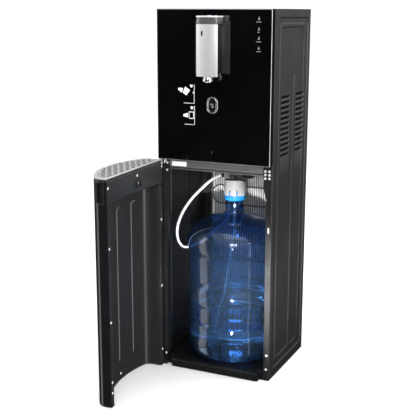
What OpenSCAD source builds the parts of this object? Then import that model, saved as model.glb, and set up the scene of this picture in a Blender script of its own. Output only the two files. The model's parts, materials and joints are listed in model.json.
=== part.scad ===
// Free-standing bottom-loading water dispenser with its lower door open.
// Origin: centre of the cabinet footprint on the floor. Front faces -Y, +Z up. Millimetres.

/* [Cabinet] */
// Width of the cabinet across the side panels
cab_w = 336; // [330:1:345]
// Depth of the side panels, without the front fascia
cab_d = 292; // [288:1:310]
// Height of the cabinet
cab_h = 1030; // [1020:1:1060]
// Thickness of the sheet steel
sheet_t = 1.5; // [1:0.1:2]
// Depth of the upper front fascia
fascia_t = 22; // [20:1:26]
// Height of the lower edge of the fascia above the floor
fascia_z0 = 619; // [617:1:625]

/* [Door] */
// Angle at which the door stands open
door_open_deg = 87.5; // [0:0.5:100]
// Height of the lower edge of the door
door_z0 = 3; // [3:1:6]
// Height of the upper edge of the door skin
door_z1 = 611; // [609:1:612]
// Wall thickness of the door mouldings
door_wall = 2.5; // [2:0.1:3]
// Radius of the hinge pins
pin_r = 3; // [2.5:0.1:3.2]

/* [Spout] */
// Width of the spout tower
spout_w = 62; // [58:1:66]
// How far the spout stands out of the glass
spout_out = 44; // [40:1:48]
// Height of the lower edge of the spout tower
spout_z0 = 855; // [850:1:860]
// Height of the top of the spout tower
spout_z1 = 1012; // [1008:1:1016]

/* [Bottle] */
// Outer radius of the water bottle
bottle_r = 135; // [130:1:136]
// Height of the surface that the bottle stands on
bottle_z0 = 26; // [24:1:30]
// Height of the water level above the floor
water_z = 197; // [120:1:330]

/* [Hose] */
// Outer diameter of the suction hose
hose_d = 8; // [6:0.5:9]

/* [Hidden] */
$fn = 64;

// Small gap between neighbouring bodies that move
gap = 0.3;
// Half sizes and main planes of the cabinet
hw = cab_w / 2;
hd = cab_d / 2;
front_y = -hd;
glass_t = 4;
fascia_y = front_y - fascia_t;
glass_back_y = fascia_y + glass_t;
inner_x = hw - sheet_t;
// Front posts and the gussets that join them to the crossbar
post_in_x = 151;
post_z1 = 617;
gusset_in_x = 142;
crossbar_z = [595, 615];
deck_z = 588;
deck_t = 3;
deck_hw = 161;
// Back posts, condenser and the cover above it
back_post_in_x = 138;
back_cover_z = [648, cab_h - sheet_t];

// Door outline: a wide front arc between two rounded corners, drawn closed
door_y = front_y - 4;
pin_pos = [-hw + 5, front_y - 9];
front_arc_r = 280;
front_arc_c = [0, front_arc_r - 240];
corner_r = 24;
corner_c = [hw - corner_r,
            front_arc_c[1] - sqrt(pow(front_arc_r - corner_r, 2) - pow(hw - corner_r, 2))];
corner_deg = atan2(front_arc_c[1] - corner_c[1], corner_c[0]);
arc_steps = 28;
corner_steps = 8;
// Recess in the inner face of the door: steep hinge side, long shallow arc to the free side
recess_hinge_x = -138;
recess_free_x = 152;
recess_c = [-25, 130.2];
recess_r = 344.2;
recess_fillet_r = 24;
recess_fillet_c = [-114, -177.4];
recess_deg = [-59, -106.14];
recess_z1 = 549.5;
// Drip tray and grille sit in the top of the door, clear of the fascia when they lift
tray_x0 = -148;
tray_z = [recess_z1 + 0.4, door_z1 - 0.3];
grille_z = [door_z1 + 0.3, door_z1 + 7];
// Rows of dash slots in the grille, each with its own half length
slot_l = 25;
slot_w = 4;
slot_pitch_x = 33;
slot_pitch_y = 9;
slot_y0 = -161;
// Handle pocket in the free end of the door
pocket_y = [-183, -160];
pocket_z = [551, 608];

// Hinge pins and knuckles
pin_clear = 0.06;
knuckle_h = 12;

// Spout tower planes
spout_hw = spout_w / 2;
spout_y = fascia_y - spout_out;
spout_side_y = spout_y + 6;
spout_front_r = 84;
core_z0 = spout_z0 + 8;
nozzle_pos = [0, -197];
key_r = 6;
key_travel = 1.5;

// Dispense button in the glass
button_z = 776;
button_travel = 3;

// Bottle position and heights
bottle_pos = [5, -18];
neck_r = 28;
neck_top_z = 515;
cap_r = 33.5;
cap_z = [503, 546];
cap_disc_z = [521, 525];
bottle_wall = 1.6;

// Dip tube: straight down through the neck, then a lean towards the strainer
bottle_at = [bottle_pos[0], bottle_pos[1], 0];
strainer_pos = [-36, -38];
dip_route = [[5, -18, 518], [5, -18, 440], [3, -19, 390],
             [strainer_pos[0], strainer_pos[1], 78.6]];
dip_dir = unit(dip_route[2] - dip_route[3]);

// Axis and lower end of the ceiling fitting, whose flat left face meets the hose
fitting_pos = [-5, -60];
fitting_z0 = 560;
// Route of the suction hose, from the ceiling fitting to the port at the back of the cap
hose_route = [
    [-10, -60, 565], [-20, -60, 565], [-34, -66, 559], [-48, -74, 549], [-62, -82, 535],
    [-78, -89, 518], [-93, -94, 501], [-107, -98, 482], [-120, -101, 461], [-131, -103, 438],
    [-139, -103, 414], [-144, -98, 390], [-147, -86, 367], [-150, -66, 348], [-153, -42, 334],
    [-155, -16, 325], [-155, 12, 320], [-151, 39, 320], [-142, 63, 326], [-128, 82, 338],
    [-110, 94, 356], [-90, 99, 378], [-69, 97, 401], [-49, 90, 423], [-30, 79, 443],
    [-13, 66, 459], [-1, 52, 471], [5, 38, 481], [6, 31, 492], [6, 30, 503], [6, 30, 514]
];

// Helpers ------------------------------------------------------------------------------------

function arc_pts(c, r, a0, a1, n) =
    [for (i = [0:n]) c + r * [cos(a0 + (a1 - a0) * i / n), sin(a0 + (a1 - a0) * i / n)]];

// Outline of the closed door, shrunk by t, with its flat back on the line y = back_y
function door_outline(t, back_y) = concat(
    [[hw - t, back_y]],
    arc_pts(corner_c, corner_r - t, 0, -corner_deg, corner_steps),
    arc_pts(front_arc_c, front_arc_r - t, -corner_deg, corner_deg - 180, arc_steps),
    arc_pts([-corner_c[0], corner_c[1]], corner_r - t, corner_deg - 180, -180, corner_steps),
    [[-hw + t, back_y]]
);

// Path of the recess wall, moved outwards by t, from the free side to the hinge side
function recess_path(t) = concat(
    [[recess_free_x + t, door_y + 0.01]],
    arc_pts(recess_c, recess_r + t, recess_deg[0] + t * 0.1, recess_deg[1], arc_steps),
    arc_pts(recess_fillet_c, recess_fillet_r + t, recess_deg[1], -180, corner_steps),
    [[recess_hinge_x - t, door_y + 0.01]]
);

// Turns a closed-door shape to the open position
module open_door() {
    translate([pin_pos[0], pin_pos[1], 0])
        rotate([0, 0, -door_open_deg])
            translate([-pin_pos[0], -pin_pos[1], 0])
                children();
}

module slab(z0, z1) {
    translate([0, 0, z0])
        linear_extrude(z1 - z0)
            children();
}

module box(x, y, z) {
    translate([x[0], y[0], z[0]])
        cube([x[1] - x[0], y[1] - y[0], z[1] - z[0]]);
}

// Shape in the X-Z plane, given thickness from y0 to y1
module upright(y0, y1) {
    translate([0, y1, 0])
        rotate([90, 0, 0])
            linear_extrude(y1 - y0)
                children();
}

// Round head of a screw standing off a face that looks to -Y
module screw_head(x, y, z, r = 3.2, h = 1.6) {
    translate([x, y, z])
        rotate([90, 0, 0])
            cylinder(r1 = r, r2 = r * 0.7, h = h, $fn = 24);
}

module oval(w, h) {
    for (s = [-1, 1])
        translate([0, s * (h - w) / 2])
            circle(d = w);
    square([w, h - w], center = true);
}

// Cabinet ------------------------------------------------------------------------------------

// Louvre slots in two columns, as openings in the side sheet
module louvre_slots() {
    for (col = [-50, 66], i = [0:11])
        translate([col, 797 - i * 14.5])
            square([70, 5], center = true);
}

module side_panel(side) {
    difference() {
        union() {
            box([side > 0 ? inner_x : -hw, side > 0 ? hw : -inner_x], [front_y, hd], [0, cab_h]);
            for (y = [[front_y, front_y + sheet_t], [hd - sheet_t, hd]])
                box([side > 0 ? inner_x - 10 : -inner_x, side > 0 ? inner_x : 10 - inner_x],
                    y, [post_z1 + 2, cab_h - 4]);
        }
        rotate([90, 0, 90])
            translate([0, 0, -hw - 1])
                linear_extrude(cab_w + 2)
                    louvre_slots();
    }
}

module side_panel_left() {
    color("#2c2d2f") side_panel(-1);
}

module side_panel_right() {
    color("#2c2d2f") side_panel(1);
}

module top_panel() {
    color("#232426") {
        box([-inner_x, inner_x], [front_y, hd], [cab_h - sheet_t, cab_h]);
        for (s = [-1, 1])
            box([s > 0 ? inner_x - 14 : -inner_x + 12, s > 0 ? inner_x - 12 : -inner_x + 14],
                [front_y + 12, hd - 12], [cab_h - 14, cab_h - sheet_t]);
    }
}

module base_pan() {
    color("#1d1e20") difference() {
        box([-inner_x, inner_x], [front_y, hd], [0, 20]);
        box([-inner_x + 2, inner_x - 2], [front_y + 2, hd - 2], [2, 21]);
        box([-post_in_x, post_in_x], [front_y - 1, front_y + 3], [2, 21]);
    }
}

// Moulded floor of the bay with a round seat for the bottle and the rounded sill in front
module bottle_tray() {
    floor_z = bottle_z0 - gap;
    sill = [[front_y, 0], [-160, 0], [-166, 2], [-170, 8], [-171, 16], [-169, 21.5],
            [-164, 24.8], [-156, floor_z], [front_y, floor_z]];
    color("#1a1b1d") difference() {
        union() {
            box([-149, 149], [-143.5, 118], [2, 30]);
            box([-138, 138], [front_y, -143.5], [2, 30]);
            translate([-128, 0, 0])
                rotate([90, 0, 90])
                    linear_extrude(268)
                        polygon(sill);
        }
        translate([bottle_pos[0], bottle_pos[1], floor_z])
            cylinder(r = bottle_r - 11, h = 20, $fn = 96);
        box([-120, 130], [-158, 100], [floor_z, 40]);
        box([-180, -119], [-150, 130], [27, 40]);
        box([129, 180], [-150, 130], [27, 40]);
        box([-140, 140], [-190, front_y - 22], [-1, 40]);
    }
}

module front_post(side) {
    x0 = side > 0 ? post_in_x : -inner_x;
    x1 = side > 0 ? inner_x : -post_in_x;
    fx0 = side > 0 ? post_in_x : -post_in_x - sheet_t;
    color("#17181a") {
        box([x0, x1], [front_y, front_y + sheet_t], [20, post_z1]);
        box([fx0, fx0 + sheet_t], [front_y + sheet_t, front_y + 18], [30, deck_z]);
    }
}

module front_post_left() {
    front_post(-1);
}

module front_post_right() {
    front_post(1);
}

// Sloping plates that stiffen the corners between the posts and the crossbar
module gusset_plates() {
    color("#141517") for (s = [0, 1])
        mirror([s, 0, 0])
            upright(front_y - sheet_t, front_y)
                polygon([[gusset_in_x, 618], [gusset_in_x, 560], [post_in_x, 526],
                         [hw - 2, 526], [hw - 2, 618]]);
}

module back_posts() {
    color("#151618") for (s = [0, 1])
        mirror([s, 0, 0]) {
            box([back_post_in_x, inner_x], [hd - 2 * sheet_t, hd - sheet_t], [20, cab_h - 15]);
            box([back_post_in_x, back_post_in_x + sheet_t], [hd - 18, hd - 2 * sheet_t],
                [20, cab_h - 15]);
        }
}

// Floor of the upper compartment, which is the ceiling of the bottle bay
module mid_deck() {
    color("#26282a") difference() {
        box([-deck_hw, deck_hw], [front_y + 4, 112], [deck_z, deck_z + deck_t]);
        translate([fitting_pos[0], fitting_pos[1], deck_z - 1])
            cylinder(r = 7, h = 6);
        box([40, 62], [70, 100], [deck_z - 1, deck_z + 5]);
    }
}

module crossbar() {
    color("#9c9ea1") difference() {
        box([-gusset_in_x + 1, gusset_in_x - 1], [front_y - sheet_t, front_y + 3.5],
            crossbar_z);
        box([-gusset_in_x, gusset_in_x], [front_y, front_y + 4],
            [crossbar_z[0] + sheet_t, crossbar_z[1] - sheet_t]);
        for (x = [-92, 8, 96])
            translate([x, front_y + 1, 605])
                rotate([90, 0, 0])
                    cylinder(r = 1.6, h = 4, $fn = 24);
    }
}

// Rear cover with vent slots, tie holes, switch openings and the cord opening
module upper_back_cover() {
    y0 = hd - sheet_t;
    color("#1c1d1f") difference() {
        box([-inner_x + 10.5, inner_x - 10.5], [y0, hd], back_cover_z);
        for (x = [-90, 0, 90], i = [0:9])
            box([x - 32, x + 32], [y0 - 1, hd + 1], [760 + i * 16, 765 + i * 16]);
        for (x = [-100, 100])
            translate([x, hd + 1, 990])
                rotate([90, 0, 0])
                    cylinder(r = 2.5, h = 4, $fn = 32);
        for (x = [-120, -95])
            box([x - 8, x + 8], [y0 - 1, hd + 1], [688, 714]);
        translate([120, hd + 1, 680])
            rotate([90, 0, 0])
                cylinder(r = 8, h = 4, $fn = 48);
    }
}

// Fascia ---------------------------------------------------------------------------------------

module fascia_frame() {
    color("#0d0e0f") difference() {
        box([-hw, hw], [glass_back_y, front_y], [fascia_z0, cab_h]);
        box([-hw + 3, hw - 3], [glass_back_y + 3, front_y + 1], [fascia_z0 + 3, cab_h - 3]);
        box([-26, 26], [glass_back_y - 1, front_y], [870, 1000]);
        translate([0, 0, button_z])
            upright(glass_back_y - 1, glass_back_y + 4)
                oval(33.4, 46.4);
    }
}

module fascia_glass() {
    color("#060607") difference() {
        box([-hw + 0.6, hw - 0.6], [fascia_y, glass_back_y], [fascia_z0 + 0.6, cab_h - 0.6]);
        box([-26, 26], [fascia_y - 1, glass_back_y + 1], [870, 1000]);
        translate([0, 0, button_z])
            upright(fascia_y - 1, glass_back_y + 1)
                oval(33.4, 46.4);
    }
}

// Spout ----------------------------------------------------------------------------------------

// Plan of the tower: straight sides and a shallow curved front, shrunk by t
module tower_plan(t, back_y) {
    half_deg = asin((spout_hw - t) / (spout_front_r - t));
    polygon(concat(
        [[spout_hw - t, back_y]],
        arc_pts([0, spout_y + spout_front_r], spout_front_r - t, half_deg - 90, -half_deg - 90, 12),
        [[-spout_hw + t, back_y]]));
}

// Dark core of the tower, its spigot through the glass and the plate that it stands on
module spout_body() {
    plate_hw = 50;
    color("#101112") difference() {
        union() {
            slab(core_z0, 991)
                difference() {
                    tower_plan(2.2, fascia_y);
                    tower_plan(4.6, fascia_y - 2.4);
                }
            slab(core_z0, core_z0 + 2.4)
                tower_plan(4.6, fascia_y - 2.4);
        }
        translate([nozzle_pos[0], nozzle_pos[1], spout_z0 - 1])
            cylinder(r = 12, h = 30);
    }
    color("#101112") box([-25, 25], [fascia_y, glass_back_y + 2], [871, 999]);
    color("#2c2d2e") difference() {
        box([-plate_hw, plate_hw], [fascia_y - 3, fascia_y], [core_z0 - 1, 998]);
        slab(core_z0 - 2, 991)
            tower_plan(2.2, fascia_y + 1);
        slab(990.8, 999)
            tower_plan(0.1, fascia_y + 1);
    }
}

// Bright curved front that wraps the tower
module spout_shell() {
    color("#cfd0d2") difference() {
        slab(spout_z0, 990.6)
            difference() {
                tower_plan(0, spout_side_y + 4);
                tower_plan(2.2, spout_side_y + 5);
            }
        box([-14, -10], [spout_y - 2, spout_y + 6], [961, 973]);
    }
}

module spout_band() {
    color("#55585b", 0.6) slab(991, 1008)
        difference() {
            tower_plan(0.4, fascia_y);
            tower_plan(3, fascia_y - 3);
        }
}

module spout_cap() {
    color("#e0e1e2") difference() {
        slab(1008, spout_z1)
            tower_plan(0, fascia_y);
        for (x = [-18, 0, 18])
            translate([x, -190, 1000])
                cylinder(r = key_r + gap, h = 20, $fn = 48);
    }
}

module sensor_window() {
    color("#050505") box([-13.8, -10.2], [spout_y + 1.2, spout_y + 2.4], [961.2, 972.8]);
}

module nozzle_ring() {
    color("#d8dadc") translate([nozzle_pos[0], nozzle_pos[1], 0])
        rotate_extrude($fn = 72)
            polygon([[8, 842], [13.5, 842], [15, 843.5], [15, 848], [13.5, 850], [12.4, spout_z0],
                     [12.4, core_z0], [11.9, core_z0], [11.9, core_z0 + 8], [8, core_z0 + 8]]);
}

module nozzle_insert() {
    color("#e8e8e6") translate([nozzle_pos[0], nozzle_pos[1], 0])
        rotate_extrude($fn = 48)
            polygon([[5, 840], [7.9, 840], [7.9, spout_z0 + 20], [5, spout_z0 + 20]]);
}

// One round key in the top of the tower, with its stem
module spout_key(x) {
    translate([x, -190, 0]) {
        translate([0, 0, 1003])
            cylinder(r = key_r, h = spout_z1 + 1 - 1003, $fn = 48);
        translate([0, 0, 996])
            cylinder(r = 2.5, h = 7, $fn = 32);
    }
}

module key_hot() {
    color("#b03028") spout_key(-18);
}

module key_ambient() {
    color("#d4d6d8") spout_key(0);
}

module key_cold() {
    color("#2f6fb8") spout_key(18);
}

// Raised ring around the oval dispense button
module button_bezel() {
    color("#2a2b2d") translate([0, 0, button_z]) {
        upright(fascia_y - 1, glass_back_y + 3)
            difference() {
                oval(33, 46);
                oval(21, 39);
            }
    }
}

module dispense_button() {
    color("#0b0b0c") translate([0, 0, button_z]) {
        upright(fascia_y - 1.6, fascia_y + 8)
            oval(20.2, 38.2);
        upright(fascia_y + 8, fascia_y + 13)
            square([6, 14], center = true);
    }
}

// Door -----------------------------------------------------------------------------------------

module door_skin() {
    color("#0e0f10") open_door() difference() {
        slab(door_z0, door_z1)
            difference() {
                polygon(door_outline(0, door_y));
                polygon(door_outline(door_wall, door_y + 1));
            }
        for (z = [[door_z0 - 1, door_z0 + knuckle_h + 0.2], [door_z1 - knuckle_h - 0.2, door_z1 + 1]])
            box([-hw - 1, -hw + 11.2], [-162.2, door_y + 1], z);
        box([144, hw + 1], pocket_y, pocket_z);
    }
}

// Inner liner: flat front of the tray housing above, deep curved recess below
module door_inner_panel() {
    edge = hw - door_wall;
    color("#2b2c2e") open_door() difference() {
        union() {
            slab(door_z0 + 3, recess_z1)
                polygon(concat(recess_path(0), [for (i = [len(recess_path(0)) - 1:-1:0])
                    recess_path(door_wall)[i]]));
            slab(recess_z1 - door_wall, recess_z1)
                polygon(concat(recess_path(0)));
            box([-edge, recess_hinge_x - 0.01], [door_y - door_wall, door_y],
                [door_z0 + 3, door_z1]);
            box([recess_free_x + 0.01, edge], [door_y - door_wall, door_y],
                [door_z0 + 3, door_z1]);
            box([recess_hinge_x - 1, recess_free_x + 1], [door_y - door_wall, door_y],
                [recess_z1 - door_wall, door_z1]);
        }
        for (z = [[0, door_z0 + knuckle_h + 0.2], [door_z1 - knuckle_h - 0.2, door_z1 + 1]])
            box([-hw - 1, -hw + 11.2], [-162.2, door_y + 1], z);
    }
}

// Plate that closes the bottom between the skin and the liner
module door_bottom_rim() {
    color("#0c0c0d") open_door() difference() {
        slab(door_z0, door_z0 + 2.8)
            difference() {
                polygon(door_outline(door_wall, door_y));
                polygon(concat([[recess_free_x, door_y + 2]], recess_path(0),
                               [[recess_hinge_x, door_y + 2]]));
            }
        box([-hw - 1, -hw + 11.2], [-162.2, door_y + 1], [0, 20]);
    }
}

module door_handle_cup() {
    color("#070708") open_door() difference() {
        intersection() {
            box([146, hw], pocket_y, pocket_z);
            slab(pocket_z[0] - 1, pocket_z[1] + 1)
                polygon(door_outline(0.8, door_y));
        }
        box([148, hw + 1], [pocket_y[0] + 2, pocket_y[1] - 2],
            [pocket_z[0] + 2, pocket_z[1] - 2]);
    }
}

// Corner blocks that turn on the hinge pins
module hinge_knuckles() {
    color("#151515") open_door() for (z = [door_z0, door_z1 - knuckle_h])
        difference() {
            box([-hw, -hw + 11], [-162, door_y], [z, z + knuckle_h]);
            translate([pin_pos[0], pin_pos[1], z - 1])
                cylinder(r = pin_r + pin_clear, h = knuckle_h + 2, $fn = 48);
        }
}

module hinge_bracket(z_plate, z_pin, back_y) {
    difference() {
        box([-hw, -150], [-164, back_y], z_plate);
        box([-hw - 1, -149], [-165, -160], [z_plate[0] - 1, z_plate[1] + 1]);
    }
    translate([pin_pos[0], pin_pos[1], z_pin[0]])
        cylinder(r = pin_r, h = z_pin[1] - z_pin[0], $fn = 48);
}

module hinge_bracket_bottom() {
    color("#5a5c5f") hinge_bracket([1, 2.5], [2.5, 14], front_y);
}

module hinge_bracket_top() {
    color("#5a5c5f") hinge_bracket([616.6, 618.4], [600, 616.6], front_y - sheet_t);
}

// Sprung hook on the free edge of the door
module door_latch() {
    color("#1c1d1e") open_door() {
        box([154, 162], [door_y, door_y + 1.6], [384, 430]);
        box([155, 161], [door_y + 1.6, door_y + 3.4], [398, 416]);
    }
}

module latch_striker() {
    color("#dcdcdc") translate([159, 0, 439])
        upright(front_y - 0.8, front_y)
            oval(4, 16);
}

// Small catch with two prongs on the inside of the tray housing
module catch_bracket() {
    color("#1f2022") open_door() {
        box([-17, 17], [door_y, door_y + 1.5], [563, 588]);
        for (x = [-14, 8])
            box([x, x + 6], [door_y + 1.5, door_y + 7], [566, 584]);
    }
}

module door_screws() {
    free_x = 161;
    hinge_x = -149;
    color("#e6e6e6") open_door() {
        for (z = [592, 435, 238, 72, 42])
            mirror([0, 1, 0])
                screw_head(free_x, -door_y, z, 2.6, 1.2);
        for (z = [444, 247, 51])
            mirror([0, 1, 0])
                screw_head(hinge_x, -door_y, z, 2.6, 1.2);
        for (z = [597, 607])
            mirror([0, 1, 0])
                screw_head(-153, -door_y, z, 2.4, 1.2);
        mirror([0, 1, 0])
            screw_head(0, -door_y, 597, 2.6, 1.2);
        mirror([0, 1, 0])
            screw_head(-1, -door_y - 1.5, 577, 2.6, 1.2);
    }
}

module cabinet_screws() {
    plate_y = front_y - sheet_t;
    color("#ececec") {
        for (x = [148, 159.5], z = [584, 594, 603.5])
            screw_head(x, plate_y, z, 2.6, 1.2);
        for (p = [[-159, 607], [-148.5, 606], [-150, 585]])
            screw_head(p[0], plate_y, p[1], 2.6, 1.2);
        screw_head(-155, plate_y, 612, 1.8, 1);
        for (p = [[159, 34], [160, 76], [-158, 30]])
            screw_head(p[0], front_y, p[1], 2.6, 1.2);
    }
}

// Plan of the tray and grille: the door outline with its hinge end cut off
module tray_plan(t, back_y) {
    intersection() {
        polygon(door_outline(t, back_y));
        translate([tray_x0 + t, -260])
            square([400, 200]);
    }
}

module drip_tray() {
    color("#18191b") open_door() difference() {
        slab(tray_z[0], tray_z[1])
            difference() {
                tray_plan(4, door_y - 4.5);
                translate([144, pocket_y[0] - 3])
                    square([40, pocket_y[1] - pocket_y[0] + 6]);
            }
        slab(tray_z[0] + 3, tray_z[1] + 1)
            difference() {
                tray_plan(6.2, door_y - 6.7);
                translate([141.8, pocket_y[0] - 5.2])
                    square([40, pocket_y[1] - pocket_y[0] + 10.4]);
            }
    }
}

module drip_grille() {
    notch_x = 12;
    color("#c9cacb") open_door() slab(grille_z[0], grille_z[1])
        difference() {
            tray_plan(0.8, door_y - 2.2);
            intersection() {
                tray_plan(9, door_y - 9);
                for (row = [0:8])
                    for (i = [-4:5])
                        translate([i * slot_pitch_x + (row % 2) * slot_pitch_x / 2,
                                   slot_y0 - row * slot_pitch_y])
                            square([slot_l, slot_w], center = true);
            }
            translate([notch_x, -244])
                square([30, 16], center = true);
        }
}

// Bottle ---------------------------------------------------------------------------------------

// Outer profile of the bottle, from the base to the neck, shrunk by t in radius
function bottle_side(t) = [
    [104, bottle_z0 + t], [120, bottle_z0 + 3 + t], [131 - t, bottle_z0 + 12 + t * 0.6],
    [bottle_r - t, bottle_z0 + 26], [bottle_r - t, 118], [131.5 - t, 125], [131.5 - t, 133],
    [133.5 - t, 140], [133.5 - t, 232], [130 - t, 238], [130 - t, 248], [133.5 - t, 254],
    [133.5 - t, 326], [130.5 - t, 331], [130.5 - t, 339], [133.5 - t, 344], [132.5 - t, 362],
    [129 - t, 380 - t * 0.3], [122 - t, 397 - t * 0.5], [110 - t, 413 - t * 0.8],
    [92 - t * 0.6, 427 - t], [72 - t * 0.4, 436 - t], [52, 442 - t], [38 - t * 0.5, 447 - t],
    [31 - t, 454], [neck_r - t, 464], [neck_r - t, 483]
];

module water_bottle() {
    outer = bottle_side(0);
    inner = bottle_side(bottle_wall);
    color("#1c4fd0", 0.5) translate([bottle_pos[0], bottle_pos[1], 0])
        rotate_extrude($fn = 96)
            polygon(concat(
                [[0, bottle_z0 + 8], [90, bottle_z0 + 6]], outer,
                [[neck_r + 1.6, 484], [neck_r + 1.6, 487], [neck_r, 488], [neck_r, neck_top_z],
                 [neck_r - bottle_wall, neck_top_z]],
                [for (i = [len(inner) - 1:-1:0]) inner[i]],
                [[90, bottle_z0 + 8], [0, bottle_z0 + 10]]));
}

module water() {
    wall = bottle_side(bottle_wall + 0.1);
    color("#5aa0ff", 0.4) translate([bottle_pos[0], bottle_pos[1], 0])
        difference() {
            rotate_extrude($fn = 96)
                polygon(concat(
                    [[0, bottle_z0 + 10.1], [90, bottle_z0 + 8.1]],
                    [for (p = wall) if (p[1] < water_z) p],
                    [[133.5 - bottle_wall - 0.1, water_z], [0, water_z]]));
            translate([strainer_pos[0], strainer_pos[1], 0] - bottle_at)
                translate([0, 0, bottle_z0 + 12])
                    cylinder(r = 11.2, h = 45, $fn = 48);
            translate(-bottle_at)
                swept_tube([dip_route[3] - 3 * dip_dir, dip_route[3] + 160 * dip_dir], 4.8, 8);
        }
}

module snap_ring() {
    color("#2a96ee") translate([bottle_pos[0], bottle_pos[1], 0])
        rotate_extrude($fn = 72)
            polygon([[neck_r + 0.3, 488.3], [neck_r + 0.3, 514.5], [neck_r + 2.4, 514.5],
                     [neck_r + 2.4, 502.5], [neck_r + 4.6, 502.5], [neck_r + 4.6, 485],
                     [neck_r + 1.9, 485], [neck_r + 1.9, 488.3]]);
}

// Space above the cap, whose top leans back a little
module above_cap() {
    translate([0, 0, cap_z[1]])
        rotate([0, 0, 25])
            rotate([-6, 0, 0])
                box([-60, 60], [-60, 60], [0, 40]);
}

// Space taken away by the round shoulder on the right of the white shell
module cap_shoulder() {
    shoulder_r = 20;
    u0 = cap_r - shoulder_r;
    rotate([0, 0, 25])
        upright(-60, 60)
            difference() {
                translate([u0, cap_disc_z[1] + 3])
                    square([40, 40]);
                translate([u0, cap_disc_z[1] + 3])
                    circle(r = shoulder_r);
            }
}

// Slotted white cap that carries the dip tube and the hose port
module probe_cap() {
    skirt_r = 31.2;
    core_r = 32;
    color("#f2f2f0") translate([bottle_pos[0], bottle_pos[1], 0])
        difference() {
            union() {
                difference() {
                    slab(cap_z[0], cap_z[1] + 8)
                        circle(r = cap_r, $fn = 72);
                    slab(cap_z[0] - 1, cap_disc_z[0])
                        circle(r = skirt_r, $fn = 72);
                    slab(cap_disc_z[1], cap_z[1] + 9)
                        circle(r = core_r, $fn = 72);
                    above_cap();
                    cap_shoulder();
                }
                translate([1, 48, 500])
                    cylinder(r = 7, h = 30, $fn = 48);
                box([-4, 6], [32.2, 48], [505, 530]);
            }
            for (a = [23:40:343])
                rotate([0, 0, a])
                    box([skirt_r - 2, cap_r + 2], [-2.5, 2.5], [cap_z[0] - 1, cap_disc_z[0] - 1]);
            translate([1, 48, 499])
                cylinder(r = hose_d / 2 + gap, h = 21, $fn = 32);
            translate([0, 0, 500])
                cylinder(r = 4, h = 22, $fn = 32);
        }
}

// Dark core that fills the shell and shows over its shoulder
module probe_cap_top() {
    color("#2b2d30") translate([bottle_pos[0], bottle_pos[1], 0])
        difference() {
            slab(cap_disc_z[1], cap_z[1] + 8)
                circle(r = 31.7, $fn = 72);
            above_cap();
        }
}

// Suction tube that hangs from the cap and leans to the strainer at the bottom
module dip_tube() {
    color("#e4ecf5") swept_tube(dip_route, 4, 12);
}

module strainer() {
    color("#e9eef2") translate([strainer_pos[0], strainer_pos[1], bottle_z0 + 14]) {
        difference() {
            cylinder(r = 11, h = 38, $fn = 48);
            for (i = [0:3])
                translate([0, 0, 5 + i * 7])
                    cylinder(r = 12, h = 2, $fn = 48);
        }
        cylinder(r = 8, h = 34, $fn = 48);
    }
}

// Hose, fitting and hook -------------------------------------------------------------------------

function unit(v) = v / norm(v);

// Direction of a route at one of its points
function route_dir(p, i) =
    i == 0 ? unit(p[1] - p[0])
    : i == len(p) - 1 ? unit(p[i] - p[i - 1])
    : unit(unit(p[i + 1] - p[i]) + unit(p[i] - p[i - 1]));

// Tube swept along a route as one closed solid of rings
module swept_tube(p, r, sides) {
    up = [0.31, 0.87, 0.38];
    rings = [for (i = [0:len(p) - 1])
        let (d = route_dir(p, i), u = unit(cross(d, up)), v = cross(d, u))
            for (k = [0:sides - 1])
                p[i] + r * (cos(360 * k / sides) * u + sin(360 * k / sides) * v)];
    n = len(p);
    walls = [for (i = [0:n - 2], k = [0:sides - 1])
        let (a = i * sides + k, b = i * sides + (k + 1) % sides)
            [a, b, b + sides, a + sides]];
    ends = [[for (k = [sides - 1:-1:0]) k], [for (k = [0:sides - 1]) (n - 1) * sides + k]];
    polyhedron(points = rings, faces = concat(walls, ends), convexity = 6);
}

module hose() {
    color("#f0f0ee") swept_tube(hose_route, hose_d / 2, 8);
}

module hose_fitting() {
    face_x = hose_route[0][0];
    color("#c8c8c6") difference() {
        translate([fitting_pos[0], fitting_pos[1], 0]) {
            translate([0, 0, deck_z - 6])
                cylinder(r = 9, h = 6);
            translate([0, 0, fitting_z0])
                cylinder(r = 7, h = deck_z - 6 - fitting_z0);
            translate([0, 0, deck_z])
                cylinder(r = 6, h = 14);
        }
        box([face_x - 20, face_x], [-90, -30], [fitting_z0 - 1, deck_z - 6]);
    }
}

// Black holder under the deck in which the cap hangs while bottles are changed
module probe_hook() {
    color("#0f1011") upright(-62, -38)
        polygon([[42, deck_z], [42, 571], [50, 562], [74, 562], [82, 571], [82, deck_z]]);
}

// Refrigeration and water system -------------------------------------------------------------------

// Steel wires in front of the serpentine tube and the ribbed sheet behind it
module condenser_wires() {
    wire = 1.5;
    color("#b9bcc0") {
        upright(122.6, 124.1) {
            for (i = [-22:22])
                translate([i * 6 - wire / 2, 66])
                    square([wire, 576]);
            for (z = [66, 352, 640])
                translate([-132 - wire / 2, z])
                    square([264 + wire, 2]);
        }
        box([-132, 132], [132, 133.4], [66, 642]);
    }
}

module condenser_tube() {
    rows = 10;
    pitch = 58;
    z0 = 90;
    tube_r = 2.6;
    run = 104;
    color("#111213") {
        for (i = [0:rows - 1])
            translate([-run, 128, z0 + i * pitch])
                rotate([0, 90, 0])
                    cylinder(r = tube_r, h = 2 * run, $fn = 32);
        for (i = [0:rows - 2])
            let (side = i % 2 == 0 ? -1 : 1)
                translate([side * run, 128, z0 + (i + 0.5) * pitch])
                    intersection() {
                        rotate([90, 0, 0])
                            rotate_extrude($fn = 48)
                                translate([pitch / 2, 0])
                                    circle(r = tube_r, $fn = 24);
                        box([side > 0 ? 0 : -pitch, side > 0 ? pitch : 0], [-9, 9], [-pitch, pitch]);
                    }
    }
}

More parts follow.
